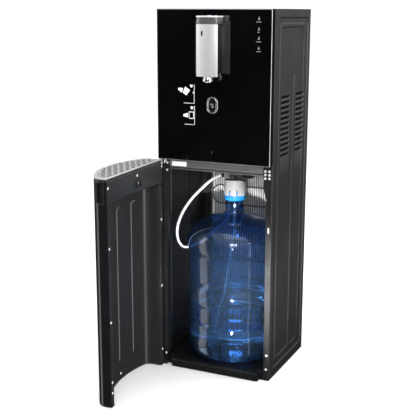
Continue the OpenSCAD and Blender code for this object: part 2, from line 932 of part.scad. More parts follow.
module compressor() {
    pos = [78, 40];
    color("#0c0c0c") {
        translate([pos[0], pos[1], 604])
            rotate_extrude($fn = 72)
                polygon([[0, 0], [44, 0], [58, 12], [60, 30], [60, 62], [62, 64], [62, 68],
                         [60, 70], [60, 96], [54, 116], [38, 130], [0, 136]]);
        for (a = [30, 150, 270])
            translate([pos[0] + 58 * cos(a), pos[1] + 58 * sin(a), deck_z + deck_t])
                cylinder(r = 10, h = 14);
    }
}

// Steel cold tank inside its foam jacket
module cold_tank() {
    pos = [-84, 50];
    color("#d9d4c4") translate([pos[0], pos[1], 0])
        difference() {
            translate([0, 0, 770])
                cylinder(r = 74, h = 200, $fn = 72);
            translate([0, 0, 790])
                cylinder(r = 56, h = 160, $fn = 72);
            translate([0, 0, 940])
                cylinder(r = 8, h = 40);
        }
}

module hot_tank() {
    pos = [80, 50];
    color("#c8cacc") translate([pos[0], pos[1], 0])
        difference() {
            union() {
                translate([0, 0, 800])
                    cylinder(r = 56, h = 140, $fn = 72);
                translate([0, 0, 940])
                    cylinder(r1 = 56, r2 = 20, h = 16, $fn = 72);
            }
            translate([0, 0, 803])
                cylinder(r = 53, h = 134, $fn = 72);
            translate([0, 0, 930])
                cylinder(r = 6, h = 40);
        }
}

module pump() {
    color("#2b5d9a") {
        translate([-80, -90, deck_z + deck_t])
            cylinder(r = 24, h = 40);
        box([-100, -60], [-66, -36], [deck_z + deck_t, 625]);
    }
}

module control_board() {
    color("#1d6a3c") box([-60, 70], [-138, -136.4], [640, 740]);
    color("#101010") for (x = [-45, -15, 20, 50])
        box([x - 8, x + 8], [-136.4, -126], [665, 700]);
}

// Rocker with a round belly that tilts in its opening in the rear cover
module rocker(x) {
    translate([x, hd - 1, 701])
        rotate([7, 0, 0]) {
            box([-7.6, 7.6], [-3, 2.2], [-12, 12]);
            difference() {
                rotate([0, 90, 0])
                    cylinder(r = 6, h = 15.2, center = true, $fn = 48);
                box([-9, 9], [-2, 9], [-9, 9]);
            }
        }
}

module rocker_heating() {
    color("#9b1f1a") rocker(-120);
}

module rocker_cooling() {
    color("#1f5a2c") rocker(-95);
}

// Gland in the rear cover where the supply cord enters
module cord_gland() {
    color("#0a0a0a") translate([120, 0, 680])
        rotate([-90, 0, 0])
            difference() {
                union() {
                    translate([0, 0, hd - 9])
                        cylinder(r = 7.9, h = 10.5, $fn = 48);
                    translate([0, 0, hd - 9])
                        cylinder(r = 11, h = 7, $fn = 48);
                }
                translate([0, 0, hd - 12])
                    cylinder(r = 4.2, h = 20, $fn = 48);
            }
}

side_panel_left();
side_panel_right();
top_panel();
base_pan();
bottle_tray();
front_post_left();
front_post_right();
gusset_plates();
back_posts();
mid_deck();
crossbar();
upper_back_cover();
fascia_frame();
fascia_glass();
spout_body();
spout_shell();
spout_band();
spout_cap();
sensor_window();
nozzle_ring();
nozzle_insert();
button_bezel();
dispense_button();
key_hot();
key_ambient();
key_cold();
hinge_bracket_bottom();
hinge_bracket_top();
latch_striker();
cabinet_screws();
door_skin();
door_inner_panel();
door_bottom_rim();
door_handle_cup();
hinge_knuckles();
door_latch();
catch_bracket();
door_screws();
drip_tray();
drip_grille();
water_bottle();
water();
snap_ring();
probe_cap();
probe_cap_top();
dip_tube();
strainer();
hose();
hose_fitting();
probe_hook();
condenser_wires();
condenser_tube();
compressor();
cold_tank();
hot_tank();
pump();
control_board();
rocker_heating();
rocker_cooling();
cord_gland();
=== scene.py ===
"""Bottom-loading water dispenser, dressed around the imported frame. Metres, +Z up, front faces -Y."""
import json
import math

import bmesh
import bpy
from mathutils import Matrix, Vector

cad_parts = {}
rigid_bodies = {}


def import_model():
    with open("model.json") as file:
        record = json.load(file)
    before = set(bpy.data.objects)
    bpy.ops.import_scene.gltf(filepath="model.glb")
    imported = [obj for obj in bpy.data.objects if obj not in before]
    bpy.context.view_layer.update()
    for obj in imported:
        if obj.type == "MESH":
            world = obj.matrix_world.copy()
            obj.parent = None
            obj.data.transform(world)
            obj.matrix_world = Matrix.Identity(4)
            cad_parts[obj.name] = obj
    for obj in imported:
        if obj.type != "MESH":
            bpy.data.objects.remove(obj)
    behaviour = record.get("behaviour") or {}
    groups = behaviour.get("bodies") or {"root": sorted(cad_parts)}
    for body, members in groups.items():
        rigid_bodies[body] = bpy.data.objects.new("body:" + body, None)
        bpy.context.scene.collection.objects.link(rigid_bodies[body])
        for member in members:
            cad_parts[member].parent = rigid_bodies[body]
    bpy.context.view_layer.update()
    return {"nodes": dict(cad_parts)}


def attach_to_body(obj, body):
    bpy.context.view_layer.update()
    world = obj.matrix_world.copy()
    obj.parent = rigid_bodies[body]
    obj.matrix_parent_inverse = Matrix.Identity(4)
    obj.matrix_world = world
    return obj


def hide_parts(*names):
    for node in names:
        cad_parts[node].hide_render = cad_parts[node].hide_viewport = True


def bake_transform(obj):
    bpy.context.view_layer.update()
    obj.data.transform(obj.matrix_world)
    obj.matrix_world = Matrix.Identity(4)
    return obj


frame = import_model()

MM = 0.001
CABINET, DOOR, GRILLE, BUTTON = "cabinet", "door", "grille", "button"
BOTTLE, PROBE = "bottle", "probe"
SCENE = bpy.context.scene


# Mesh helpers --------------------

def make_object(name, verts, faces, mat, body, slot=None, replaces=(), sharp_deg=35.0):
    """One mesh piece in the row frame, smooth shaded with sharp edges past an angle."""
    mesh = bpy.data.meshes.new(name)
    mesh.from_pydata([tuple(v) for v in verts], [], [tuple(f) for f in faces])
    mesh.validate()
    return finish_mesh(name, mesh, mat, body, slot, replaces, sharp_deg)


def finish_mesh(name, mesh, mat, body, slot=None, replaces=(), sharp_deg=35.0):
    bm = bmesh.new()
    bm.from_mesh(mesh)
    bmesh.ops.remove_doubles(bm, verts=bm.verts, dist=1e-6)
    bmesh.ops.recalc_face_normals(bm, faces=bm.faces)
    bm.to_mesh(mesh)
    bm.free()
    smooth(mesh, sharp_deg)
    obj = bpy.data.objects.new(name, mesh)
    SCENE.collection.objects.link(obj)
    for m in mat if isinstance(mat, (list, tuple)) else [mat]:
        mesh.materials.append(m)
    return attach(obj, body, slot, replaces)


def attach(obj, body, slot=None, replaces=()):
    """Puts a piece on its body and hides the nodes that it stands for; the slot argument is not used."""
    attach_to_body(obj, body)
    if replaces:
        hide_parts(*replaces)
    return obj


def smooth(mesh, sharp_deg=35.0):
    mesh.shade_smooth()
    mesh.set_sharp_from_angle(angle=math.radians(sharp_deg))


def bevel(obj, width, segments=2, angle=40.0, weld=False):
    """Rounds the hard edges of a piece, after joining the split corners of a CAD mesh."""
    if weld:
        joined = obj.modifiers.new("join", "WELD")
        joined.merge_threshold = 1e-5
    mod = obj.modifiers.new("edges", "BEVEL")
    mod.width = width
    mod.segments = segments
    mod.limit_method = "ANGLE"
    mod.angle_limit = math.radians(angle)
    return even_normals(obj)


def even_normals(obj):
    """Makes large faces keep their own normals beside narrow bevels and rims."""
    even = obj.modifiers.new("normals", "WEIGHTED_NORMAL")
    even.keep_sharp = True
    return obj


def arc(cx, cy, r, a0, a1, n):
    """Points on an arc, angles in degrees."""
    return [(cx + r * math.cos(math.radians(a0 + (a1 - a0) * i / n)),
             cy + r * math.sin(math.radians(a0 + (a1 - a0) * i / n))) for i in range(n + 1)]


def rounded_rect(x0, x1, y0, y1, r, n=5):
    """Outline of a rectangle with round corners, counter-clockwise."""
    return (arc(x1 - r, y1 - r, r, 0, 90, n) + arc(x0 + r, y1 - r, r, 90, 180, n)
            + arc(x0 + r, y0 + r, r, 180, 270, n) + arc(x1 - r, y0 + r, r, 270, 360, n))


def stadium(w, h, n=12):
    """Upright oval with straight sides, centred on the origin."""
    r, d = w / 2, (h - w) / 2
    return arc(0, d, r, 0, 180, n) + arc(0, -d, r, 180, 360, n)


def inset_outline(points, t):
    """Moves a closed counter-clockwise outline inwards by t."""
    n, out = len(points), []
    for i in range(n):
        p, q, s = (Vector(points[k % n]) for k in (i - 1, i, i + 1))
        if (q - p).length < 1e-9 or (s - q).length < 1e-9:
            out.append(tuple(q))
            continue
        a, b = (q - p).normalized(), (s - q).normalized()
        na, nb = Vector((-a.y, a.x)), Vector((-b.y, b.x))
        m = na + nb
        m = m.normalized() * (t / max(0.35, math.sqrt((1 + na.dot(nb)) / 2)))
        out.append(tuple(q + m))
    return out


def cell(i, k, n):
    """Face between rings i and i + 1 of n points each, at point k and the one after it."""
    after = (k + 1) % n
    return (i * n + k, i * n + after, (i + 1) * n + after, (i + 1) * n + k)


def loft(rings, close_ends=True, closed=True):
    """Vertices and faces of a surface through rings with the same number of points."""
    n = len(rings[0])
    verts = [p for ring in rings for p in ring]
    last = n if closed else n - 1
    faces = [cell(i, k, n) for i in range(len(rings) - 1) for k in range(last)]
    if close_ends:
        faces.append(tuple(range(n - 1, -1, -1)))
        faces.append(tuple((len(rings) - 1) * n + k for k in range(n)))
    return verts, faces


def slab_rings(outline, a0, a1, edge, place, steps=3):
    """Rings of a plate with rounded edges: outline in the plane, from level a0 to a1."""
    rings = []
    for i in range(steps + 1):
        t = math.pi / 2 * i / steps
        ring = inset_outline(outline, edge * (1 - math.sin(t)))
        rings.append([place(p, a0 + edge * (1 - math.cos(t))) for p in ring])
    for i in range(steps + 1):
        t = math.pi / 2 * (1 - i / steps)
        ring = inset_outline(outline, edge * (1 - math.sin(t)))
        rings.append([place(p, a1 - edge * (1 - math.cos(t))) for p in ring])
    return rings


def level(p, z):
    return (p[0], p[1], z)


def facing_front(p, y):
    """Outline point (x, z) at depth y; the plate's levels then run along Y."""
    return (p[0], y, p[1])


def plate(name, outline, a0, a1, edge, mat, body, place=level, **kw):
    return make_object(name, *loft(slab_rings(outline, a0, a1, edge, place)), mat, body, **kw)


def lathe_geometry(profile, centre, segments=72):
    """Surface of revolution about a vertical axis; a profile point is (radius, z)."""
    rings = []
    for r, z in profile:
        rings.append([(centre[0] + r * math.cos(2 * math.pi * k / segments),
                       centre[1] + r * math.sin(2 * math.pi * k / segments), z)
                      for k in range(segments)])
    return loft(rings, close_ends=False)


def lathe(name, profile, centre, mat, body, segments=72, **kw):
    return make_object(name, *lathe_geometry(profile, centre, segments), mat, body, **kw)


def corner_curve(p, q, s, r, share, n=4):
    """Round corner at q, which starts at r or at a share of the way to its neighbours p and s."""
    a, b = p - q, s - q
    d = min(r, a.length * share, b.length * share)
    start, end = q + a.normalized() * d, q + b.normalized() * d
    return [tuple((1 - t) ** 2 * start + 2 * t * (1 - t) * q + t * t * end)
            for t in (k / n for k in range(n + 1))]


def fillet_profile(points, r):
    """Rounds the corners of an open profile of (radius, z) points."""
    out = [points[0]]
    for p, q, s in zip(points, points[1:], points[2:]):
        out += corner_curve(Vector(p), Vector(q), Vector(s), r, 0.45)
    return out + [points[-1]]


def circle(centre, u, v, radius, n):
    """Points of a circle in the plane of the unit vectors u and v."""
    turns = [2 * math.pi * k / n for k in range(n)]
    return [tuple(centre + radius * (math.cos(t) * u + math.sin(t) * v)) for t in turns]


def tube_geometry(path, radius, sides=12, ends=True):
    """Round tube along a path of points, with frames carried along without twist."""
    pts = [Vector(p) for p in path]
    dirs = []
    for i in range(len(pts)):
        a = pts[min(i + 1, len(pts) - 1)] - pts[max(i - 1, 0)]
        dirs.append(a.normalized())
    u = dirs[0].orthogonal().normalized()
    rings = []
    for p, d in zip(pts, dirs):
        u = (u - d * u.dot(d)).normalized()
        rings.append(circle(p, u, d.cross(u), radius, sides))
    return loft(rings, close_ends=ends)


def smooth_path(points, per_span=4):
    """Catmull-Rom curve through given points."""
    p = [Vector(q) for q in points]
    p = [p[0] * 2 - p[1]] + p + [p[-1] * 2 - p[-2]]
    out = []
    for a, b, c, d in zip(p, p[1:], p[2:], p[3:]):
        for i in range(per_span):
            t = i / per_span
            out.append(0.5 * ((2 * b) + (c - a) * t + (2 * a - 5 * b + 4 * c - d) * t * t
                              + (3 * b - a - 3 * c + d) * t ** 3))
    return out + [p[-2]]


def merged(parts):
    """Joins (verts, faces) pairs into one pair."""
    verts, faces = [], []
    for v, f in parts:
        base = len(verts)
        verts += list(v)
        faces += [tuple(i + base for i in face) for face in f]
    return verts, faces


# Material helpers --------------------

def shader(name, base, roughness, metallic=0.0, **sockets):
    mat = bpy.data.materials.new(name)
    mat.use_nodes = True
    bsdf = mat.node_tree.nodes["Principled BSDF"]
    bsdf.inputs["Base Color"].default_value = (*base, 1)
    bsdf.inputs["Roughness"].default_value = roughness
    bsdf.inputs["Metallic"].default_value = metallic
    for key, value in sockets.items():
        bsdf.inputs[key.replace("_", " ").title().replace("Ior", "IOR")].default_value = value
    return mat


def noise(mat, scale, stretch=(1, 1, 1), detail=3.0, rough=0.5):
    """Noise in the row frame; stretch gives each axis its own frequency."""
    nodes, links = mat.node_tree.nodes, mat.node_tree.links
    coord = nodes.new("ShaderNodeTexCoord")
    mapping = nodes.new("ShaderNodeMapping")
    mapping.inputs["Scale"].default_value = stretch
    tex = nodes.new("ShaderNodeTexNoise")
    tex.inputs["Scale"].default_value = scale
    tex.inputs["Detail"].default_value = detail
    tex.inputs["Roughness"].default_value = rough
    links.new(coord.outputs["Object"], mapping.inputs["Vector"])
    links.new(mapping.outputs["Vector"], tex.inputs["Vector"])
    return tex.outputs["Fac"]


def ramp(mat, fac, stops):
    node = mat.node_tree.nodes.new("ShaderNodeValToRGB")
    ramp_el = node.color_ramp.elements
    while len(ramp_el) < len(stops):
        ramp_el.new(0.5)
    for el, (pos, col) in zip(ramp_el, stops):
        el.position = pos
        el.color = (*col, 1) if len(col) == 3 else col
    mat.node_tree.links.new(fac, node.inputs["Fac"])
    return node.outputs["Color"]


def mottle(mat, dark, light, scale, stretch=(1, 1, 1), lo=0.35, hi=0.65):
    """Base colour that wanders between two near tones."""
    colour = ramp(mat, noise(mat, scale, stretch), [(lo, dark), (hi, light)])
    mat.node_tree.links.new(colour, mat.node_tree.nodes["Principled BSDF"].inputs["Base Color"])
    return mat


def math_node(nodes, links, operation, a, b):
    node = nodes.new("ShaderNodeMath")
    node.operation = operation
    links.new(a, node.inputs[0])
    links.new(b, node.inputs[1])
    return node.outputs["Value"]


def towards_node(nodes, links, direction, target):
    """Cosine between a direction socket and a fixed target."""
    node = nodes.new("ShaderNodeVectorMath")
    node.operation = "DOT_PRODUCT"
    node.inputs[1].default_value = Vector(target).normalized()
    links.new(direction, node.inputs[0])
    return node.outputs["Value"]


def map_range(nodes, links, value, from_low, from_high, low, high):
    node = nodes.new("ShaderNodeMapRange")
    for key, v in (("From Min", from_low), ("From Max", from_high), ("To Min", low), ("To Max", high)):
        node.inputs[key].default_value = v
    links.new(value, node.inputs["Value"])
    return node.outputs["Result"]


def uneven_gloss(mat, low, high, scale, stretch=(1, 1, 1)):
    nodes, links = mat.node_tree.nodes, mat.node_tree.links
    gloss = map_range(nodes, links, noise(mat, scale, stretch), 0.3, 0.7, low, high)
    links.new(gloss, nodes["Principled BSDF"].inputs["Roughness"])
    return mat


def grain(mat, scale, strength, distance=0.0002, stretch=(1, 1, 1), detail=3.0):
    """Fine relief in the surface."""
    nodes, links = mat.node_tree.nodes, mat.node_tree.links
    bump = nodes.new("ShaderNodeBump")
    bump.inputs["Strength"].default_value = strength
    bump.inputs["Distance"].default_value = distance
    links.new(noise(mat, scale, stretch, detail), bump.inputs["Height"])
    links.new(bump.outputs["Normal"], nodes["Principled BSDF"].inputs["Normal"])
    return mat


def tones(base, spread):
    """A darker and a lighter neighbour of a colour."""
    return tuple(c * (1 - spread) for c in base), tuple(c * (1 + spread) for c in base)


def painted(name, base, rough, grain_scale=900, grain_strength=0.25):
    mat = shader(name, base, rough)
    mottle(mat, *tones(base, 0.08), 7)
    uneven_gloss(mat, rough - 0.05, rough + 0.06, 22)
    return grain(mat, grain_scale, grain_strength, 0.00012)


def moulded(name, base, rough, spread=0.07, bump=0.2, scale=1400, gloss=0.045, **sockets):
    mat = shader(name, base, rough, **sockets)
    mottle(mat, *tones(base, spread), 11)
    uneven_gloss(mat, rough - gloss, rough + gloss, 35)
    return grain(mat, scale, bump, 0.0001)


def metal(name, base, rough, stretch=(1, 1, 1), bump=0.12, metallic=1.0):
    mat = shader(name, base, rough, metallic=metallic)
    mottle(mat, *tones(base, 0.06), 60, stretch)
    uneven_gloss(mat, rough - 0.05, rough + 0.08, 90, stretch)
    return grain(mat, 320, bump, 0.00006, stretch)


def mm_points(points):
    return [(x * MM, y * MM) for x, y in points]


# Materials --------------------

BRUSH_X = (0.02, 1, 1)
MAT = {
    "side": painted("painted_side_sheet", (0.0095, 0.0097, 0.0102), 0.36),
    "black_sheet": painted("black_sheet", (0.008, 0.008, 0.009), 0.38),
    "deck": metal("galvanised_sheet", (0.42, 0.43, 0.44), 0.5),
    "crossbar": metal("crossbar_steel", (0.17, 0.172, 0.176), 0.42, BRUSH_X, metallic=0.5),
    "black_plastic": moulded("black_plastic", (0.010, 0.010, 0.011), 0.45),
    "tray_plastic": moulded("tray_plastic", (0.006, 0.006, 0.007), 0.3),
    "gloss_black": moulded("gloss_black_plastic", (0.006, 0.006, 0.007), 0.16, bump=0.05, scale=60),
    # Rib material lighter than the liner: painted highlight on the rib crests.
    "liner_rib_painted_highlight": moulded("liner_rib_painted_highlight", (0.10, 0.10, 0.102), 0.3, bump=0.05, scale=700),
    "liner": moulded("liner_plastic", (0.0175, 0.0175, 0.0178), 0.30, spread=0.03, bump=0.03, scale=500,
                     gloss=0.012),
    "silver": metal("silver_shell", (0.40, 0.405, 0.41), 0.36, (1, 1, 0.05), 0.05, 0.35),
    "bright": metal("bright_trim", (0.58, 0.585, 0.59), 0.14, bump=0.02),
    "dark_grey": moulded("dark_grey_trim", (0.035, 0.036, 0.039), 0.4),
    "white": moulded("white_plastic", (0.72, 0.72, 0.71), 0.32, spread=0.03, bump=0.08),
    "silicone": moulded("white_silicone", (0.92, 0.92, 0.91), 0.42, spread=0.03, bump=0.06),
    "fitting": moulded("pale_fitting", (0.25, 0.25, 0.25), 0.4),
    "red": moulded("red_key", (0.16, 0.02, 0.015), 0.3),
    "grey": moulded("grey_key", (0.55, 0.56, 0.57), 0.3),
    "blue_key": moulded("blue_key", (0.03, 0.14, 0.42), 0.3),
    "green": moulded("green_rocker", (0.02, 0.20, 0.05), 0.3),
    "zinc": metal("zinc_steel", (0.45, 0.46, 0.47), 0.35),
    # Screw heads near white: zinc's pale tone raised into a painted highlight.
    "screw": metal("zinc_screw", (0.93, 0.93, 0.93), 0.3, bump=0.05, metallic=0.3),
    "grille": moulded("grille_grey", (0.38, 0.385, 0.39), 0.32, spread=0.05),
    "wire": metal("wire_steel", (0.30, 0.30, 0.30), 0.4, metallic=0.1),
    "frame_black": moulded("fascia_black", (0.004, 0.004, 0.0042), 0.6, bump=0.1,
                           specular_ior_level=0.0),
    "backplate": moulded("spout_backplate", (0.013, 0.0132, 0.0135), 0.35, spread=0.04, bump=0.04),
    "lid": moulded("cap_core_grey", (0.016, 0.0165, 0.018), 0.4),
    "trim": metal("button_trim_metal", (0.60, 0.605, 0.61), 0.25, bump=0.02),
    "bezel": moulded("bezel_black", (0.012, 0.012, 0.013), 0.3),
    "cap_white": metal("cap_trim", (0.62, 0.62, 0.63), 0.22, bump=0.02, metallic=0.25),
    "black_tube": painted("black_steel_tube", (0.006, 0.006, 0.006), 0.3),
    "foam": moulded("foam_jacket", (0.05, 0.05, 0.052), 0.8, bump=0.6, scale=300),
    "tank": metal("tank_steel", (0.20, 0.20, 0.205), 0.3),
    "pump": moulded("pump_blue", (0.04, 0.14, 0.36), 0.35),
    "circuit": moulded("circuit_green", (0.015, 0.16, 0.06), 0.4, spread=0.25),
    "rubber": moulded("black_rubber", (0.008, 0.008, 0.008), 0.6),
    "print": moulded("white_print", (0.80, 0.81, 0.82), 0.5, spread=0.02, bump=0.02),
    "icon_print": moulded("icon_print", (0.20, 0.20, 0.205), 0.5, spread=0.02, bump=0.02),
    "glass_edge": moulded("glass_edge", (0.42, 0.43, 0.44), 0.4, spread=0.15, bump=0.3),
}


def glass_black():
    mat = shader("black_glass", (0.0015, 0.0015, 0.0018), 0.04)
    mottle(mat, (0.0012, 0.0012, 0.0014), (0.0020, 0.0020, 0.0023), 5)
    uneven_gloss(mat, 0.025, 0.06, 9)
    return mat


def clear(name, base, ior, rough=0.02, scale=14, spread=0.05, bump=0.02, through=1.0):
    """Clear or tinted transparent stuff with faint flow marks."""
    mat = shader(name, base, rough, ior=ior, transmission_weight=through)
    mottle(mat, *tones(base, spread), scale)
    return grain(mat, 45, bump, 0.0004)


def ribbed(name, dark, light, period):
    """Painted light and shade in bands across X: light bands for lit rib crests, dark bands for the shaded
    hollows between them.
    """
    mat = shader(name, light, 0.45)
    nodes, links = mat.node_tree.nodes, mat.node_tree.links
    coord = nodes.new("ShaderNodeTexCoord")
    wave = nodes.new("ShaderNodeTexWave")
    bands_per_unit = 20 / (2 * math.pi)
    wave.inputs["Scale"].default_value = 1 / (period * bands_per_unit)
    wave.inputs["Distortion"].default_value = 0.4
    links.new(coord.outputs["Object"], wave.inputs["Vector"])
    links.new(ramp(mat, wave.outputs["Fac"], [(0.45, dark), (0.8, light)]),
              nodes["Principled BSDF"].inputs["Base Color"])
    return grain(mat, 900, 0.1, 0.0001)


MAT["glass_black"] = glass_black()
# Rib sheet colour: painted light and shade in stripes.
MAT["rib_sheet"] = ribbed("rib_sheet_painted_light_and_shade", (0.10, 0.10, 0.10), (0.95, 0.95, 0.95), 6 * MM)
MAT["bottle"] = clear("blue_bottle", (0.33, 0.60, 1.0), 1.45, bump=0.5, through=0.99)
MAT["water"] = clear("clear_water", (0.78, 0.91, 1.0), 1.33, rough=0.0, bump=0.5)
MAT["smoke"] = clear("smoked_band", (0.10, 0.102, 0.106), 1.4, rough=0.12, through=0.45)
MAT["clear_tube"] = clear("clear_tube", (0.80, 0.86, 0.94), 1.3, rough=0.1, through=0.75)
MAT["clear_cage"] = clear("clear_cage", (0.86, 0.92, 1.0), 1.2, rough=0.1, through=0.93)
MAT["sky_blue"] = moulded("light_blue_plastic", (0.02, 0.36, 0.92), 0.3, bump=0.05)


# Camera, floor and lights --------------------

CAMERA_AT = Vector((0.9638, -2.2860, 1.0241))
CAMERA_TURN = math.radians(24.744)
CAMERA_TILT = math.radians(12.870)
CAMERA_ROLL = math.radians(0.165)
LENS_MM = 74.64


def add_camera():
    data = bpy.data.cameras.new("camera")
    data.lens = LENS_MM
    data.sensor_width = 36
    data.clip_end = 100
    cam = bpy.data.objects.new("camera", data)
    SCENE.collection.objects.link(cam)
    cam.matrix_world = (Matrix.Translation(CAMERA_AT)
                        @ Matrix.Rotation(CAMERA_TURN, 4, "Z")
                        @ Matrix.Rotation(math.pi / 2 - CAMERA_TILT, 4, "X")
                        @ Matrix.Rotation(CAMERA_ROLL, 4, "Z"))
    SCENE.camera = cam


def area_light(name, at, towards, size, power):
    data = bpy.data.lights.new(name, "AREA")
    data.shape = "RECTANGLE"
    data.size, data.size_y = size
    data.energy = power
    light = bpy.data.objects.new(name, data)
    SCENE.collection.objects.link(light)
    light.location = at
    light.rotation_euler = (Vector(towards) - Vector(at)).to_track_quat("-Z", "Y").to_euler()
    return light


FLAG_TOWARDS = (-0.41, -0.91, -0.06)
FLAG_EDGE, CARD_EDGE, CARD_FLATTEN = (0.72, 0.93), (0.965, 0.99), 0.35
CARDS = [((0.95, -0.31, -0.10), 3.0), ((-0.87, -0.50, -0.10), 3.0)]
WORLD_WHITE, SEEN_THROUGH = 1.08, 0.45
SEEN_BY_HEIGHT = [(0.33, 0.03), (0.4225, 0.14), (0.5, 0.45), (0.6, 0.8), (0.75, 1.0)]


def add_world():
    """White room, dimmer through clear parts. Mirror rays see it darken downwards, with a dark flag
    front left of the glass and two bright cards."""
    world = bpy.data.worlds.new("studio")
    SCENE.world = world
    world.use_nodes = True
    nodes, links = world.node_tree.nodes, world.node_tree.links
    plain = nodes["Background"]
    plain.inputs["Color"].default_value = (1, 1, 1, 1)
    seen = nodes.new("ShaderNodeBackground")
    coord = nodes.new("ShaderNodeTexCoord")
    split = nodes.new("ShaderNodeSeparateXYZ")
    links.new(coord.outputs["Generated"], split.inputs["Vector"])
    height = ramp(world, map_range(nodes, links, split.outputs["Z"], -1, 1, 0, 1),
                  [(at, (v, v, v)) for at, v in SEEN_BY_HEIGHT])
    flag_dot = towards_node(nodes, links, coord.outputs["Generated"], FLAG_TOWARDS)
    flag = map_range(nodes, links, flag_dot, *FLAG_EDGE, 1.0, 0.0)
    flat = nodes.new("ShaderNodeVectorMath")
    flat.operation = "MULTIPLY"
    flat.inputs[1].default_value = (1, 1, CARD_FLATTEN)
    links.new(coord.outputs["Generated"], flat.inputs[0])
    unit = nodes.new("ShaderNodeVectorMath")
    unit.operation = "NORMALIZE"
    links.new(flat.outputs["Vector"], unit.inputs[0])
    white = math_node(nodes, links, "MULTIPLY", height, flag)
    for towards, strength in CARDS:
        card_dot = towards_node(nodes, links, unit.outputs["Vector"], towards)
        card = map_range(nodes, links, card_dot, *CARD_EDGE, 0.0, strength)
        white = math_node(nodes, links, "ADD", white, card)
    links.new(white, seen.inputs["Strength"])
    path = nodes.new("ShaderNodeLightPath")
    mix = nodes.new("ShaderNodeMixShader")
    links.new(path.outputs["Is Glossy Ray"], mix.inputs["Fac"])
    clear_ray = path.outputs["Is Transmission Ray"]
    links.new(map_range(nodes, links, clear_ray, 0, 1, WORLD_WHITE, SEEN_THROUGH), plain.inputs["Strength"])
    links.new(plain.outputs["Background"], mix.inputs[1])
    links.new(seen.outputs["Background"], mix.inputs[2])
    links.new(mix.outputs["Shader"], nodes["World Output"].inputs["Surface"])


# Name, place, target, size and power
LIGHTS = [
    ("softbox_top", (0.3, -0.6, 3.2), (0, 0, 0.4), (2.2, 2.2), 18),
    ("softbox_left", (-2.4, -1.4, 1.5), (0, -0.1, 0.7), (0.7, 2.2), 20),
    ("softbox_right", (2.6, 0.9, 1.6), (0.1, 0, 0.6), (1.2, 2.2), 24),
    ("softbox_back", (-0.6, 2.6, 1.8), (0, 0, 0.5), (1.6, 1.6), 14),
    ("strip_right", (2.2, -1.0, 1.0), (0, -0.2, 0.5), (0.3, 1.8), 30),
    ("softbox_front", (0.9, -2.4, 1.3), (0, -0.1, 0.5), (0.8, 0.8), 26),
]


def add_stage():
    SCENE.view_settings.view_transform = "Standard"
    add_world()
    floor_mat = shader("floor", (0.97, 0.97, 0.97), 0.9, specular_ior_level=0.0)
    mottle(floor_mat, (0.965, 0.965, 0.965), (0.975, 0.975, 0.975), 3)
    half = 30
    mesh = bpy.data.meshes.new("floor")
    corners = [(-half, -half, 0), (half, -half, 0), (half, half, 0), (-half, half, 0)]
    mesh.from_pydata(corners, [], [(0, 1, 2, 3)])
    mesh.materials.append(floor_mat)
    floor = bpy.data.objects.new("floor", mesh)
    SCENE.collection.objects.link(floor)
    floor.visible_glossy = False
    floor.visible_transmission = False
    for light in LIGHTS:
        area_light(*light)
    bay = area_light("strip_bay", (0.50, -1.5, 0.16), (0.0, 0.1, 0.27), (0.07, 0.07), 2.4)
    bay.data.spread = math.radians(18)


add_camera()
add_stage()


# Cord --------------------

HOSE_DIAMETER = 8 * MM
HOSE_ROUTE_MM = [
    (-10, -60, 565), (-20, -60, 565), (-34, -66, 559), (-48, -74, 549), (-62, -82, 535),
    (-78, -89, 518), (-93, -94, 501), (-107, -98, 482), (-120, -101, 461), (-131, -103, 438),
    (-139, -103, 414), (-144, -98, 390), (-147, -86, 367), (-150, -66, 348), (-153, -42, 334),
    (-155, -16, 325), (-155, 12, 320), (-151, 39, 320), (-142, 63, 326), (-128, 82, 338),
    (-110, 94, 356), (-90, 99, 378), (-69, 97, 401), (-49, 90, 423), (-30, 79, 443),
    (-13, 66, 459), (-1, 52, 471), (5, 38, 481), (6, 31, 492), (6, 30, 503), (6, 30, 514),
]


def add_hose():
    route = smooth_path([Vector(p) * MM for p in HOSE_ROUTE_MM])
    mesh = bpy.data.meshes.new("suction_hose")
    verts, faces = tube_geometry(route, HOSE_DIAMETER / 2, 14)
    mesh.from_pydata([tuple(v) for v in verts], [], faces)
    smooth(mesh)
    mesh.materials.append(MAT["silicone"])
    hose = bpy.data.objects.new("suction_hose", mesh)
    SCENE.collection.objects.link(hose)
    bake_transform(hose)
    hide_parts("hose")


add_hose()


# Cabinet --------------------

SIDE_X = 168 * MM
HALF_DEPTH = 146 * MM
TOP_Z = 1030 * MM
LOUVRE_COLUMNS = [(-85 * MM, -15 * MM), (31 * MM, 101 * MM)]
LOUVRE_TOP, LOUVRE_PITCH, LOUVRE_ROWS = 799.5 * MM, 14.5 * MM, 12
LOUVRE_DEPTH, LOUVRE_HEIGHT, LOUVRE_GAP = 4.5 * MM, 11 * MM, 2.8 * MM
# X of the black sheets that paint shade behind the louvres.
LOUVRE_SHADE_SHEET_X = (162.6 * MM, 163.6 * MM)
SIDE_THICKNESS = 0.9 * MM


def ease(a, b, x):
    t = min(1.0, max(0.0, (x - a) / (b - a)))
    return t * t * (3 - 2 * t)


def in_rect(y, z, y0, y1, z0, z1, r, ramp_w):
    """1 inside a rounded rectangle and 0 outside, over a sloped edge."""
    dy = abs(y - (y0 + y1) / 2) - ((y1 - y0) / 2 - r)
    dz = abs(z - (z0 + z1) / 2) - ((z1 - z0) / 2 - r)
    d = math.hypot(max(dy, 0), max(dz, 0)) + min(max(dy, dz), 0) - r
    return 1 - ease(-ramp_w / 2, ramp_w / 2, d)


SLOPE = 3.4 * MM


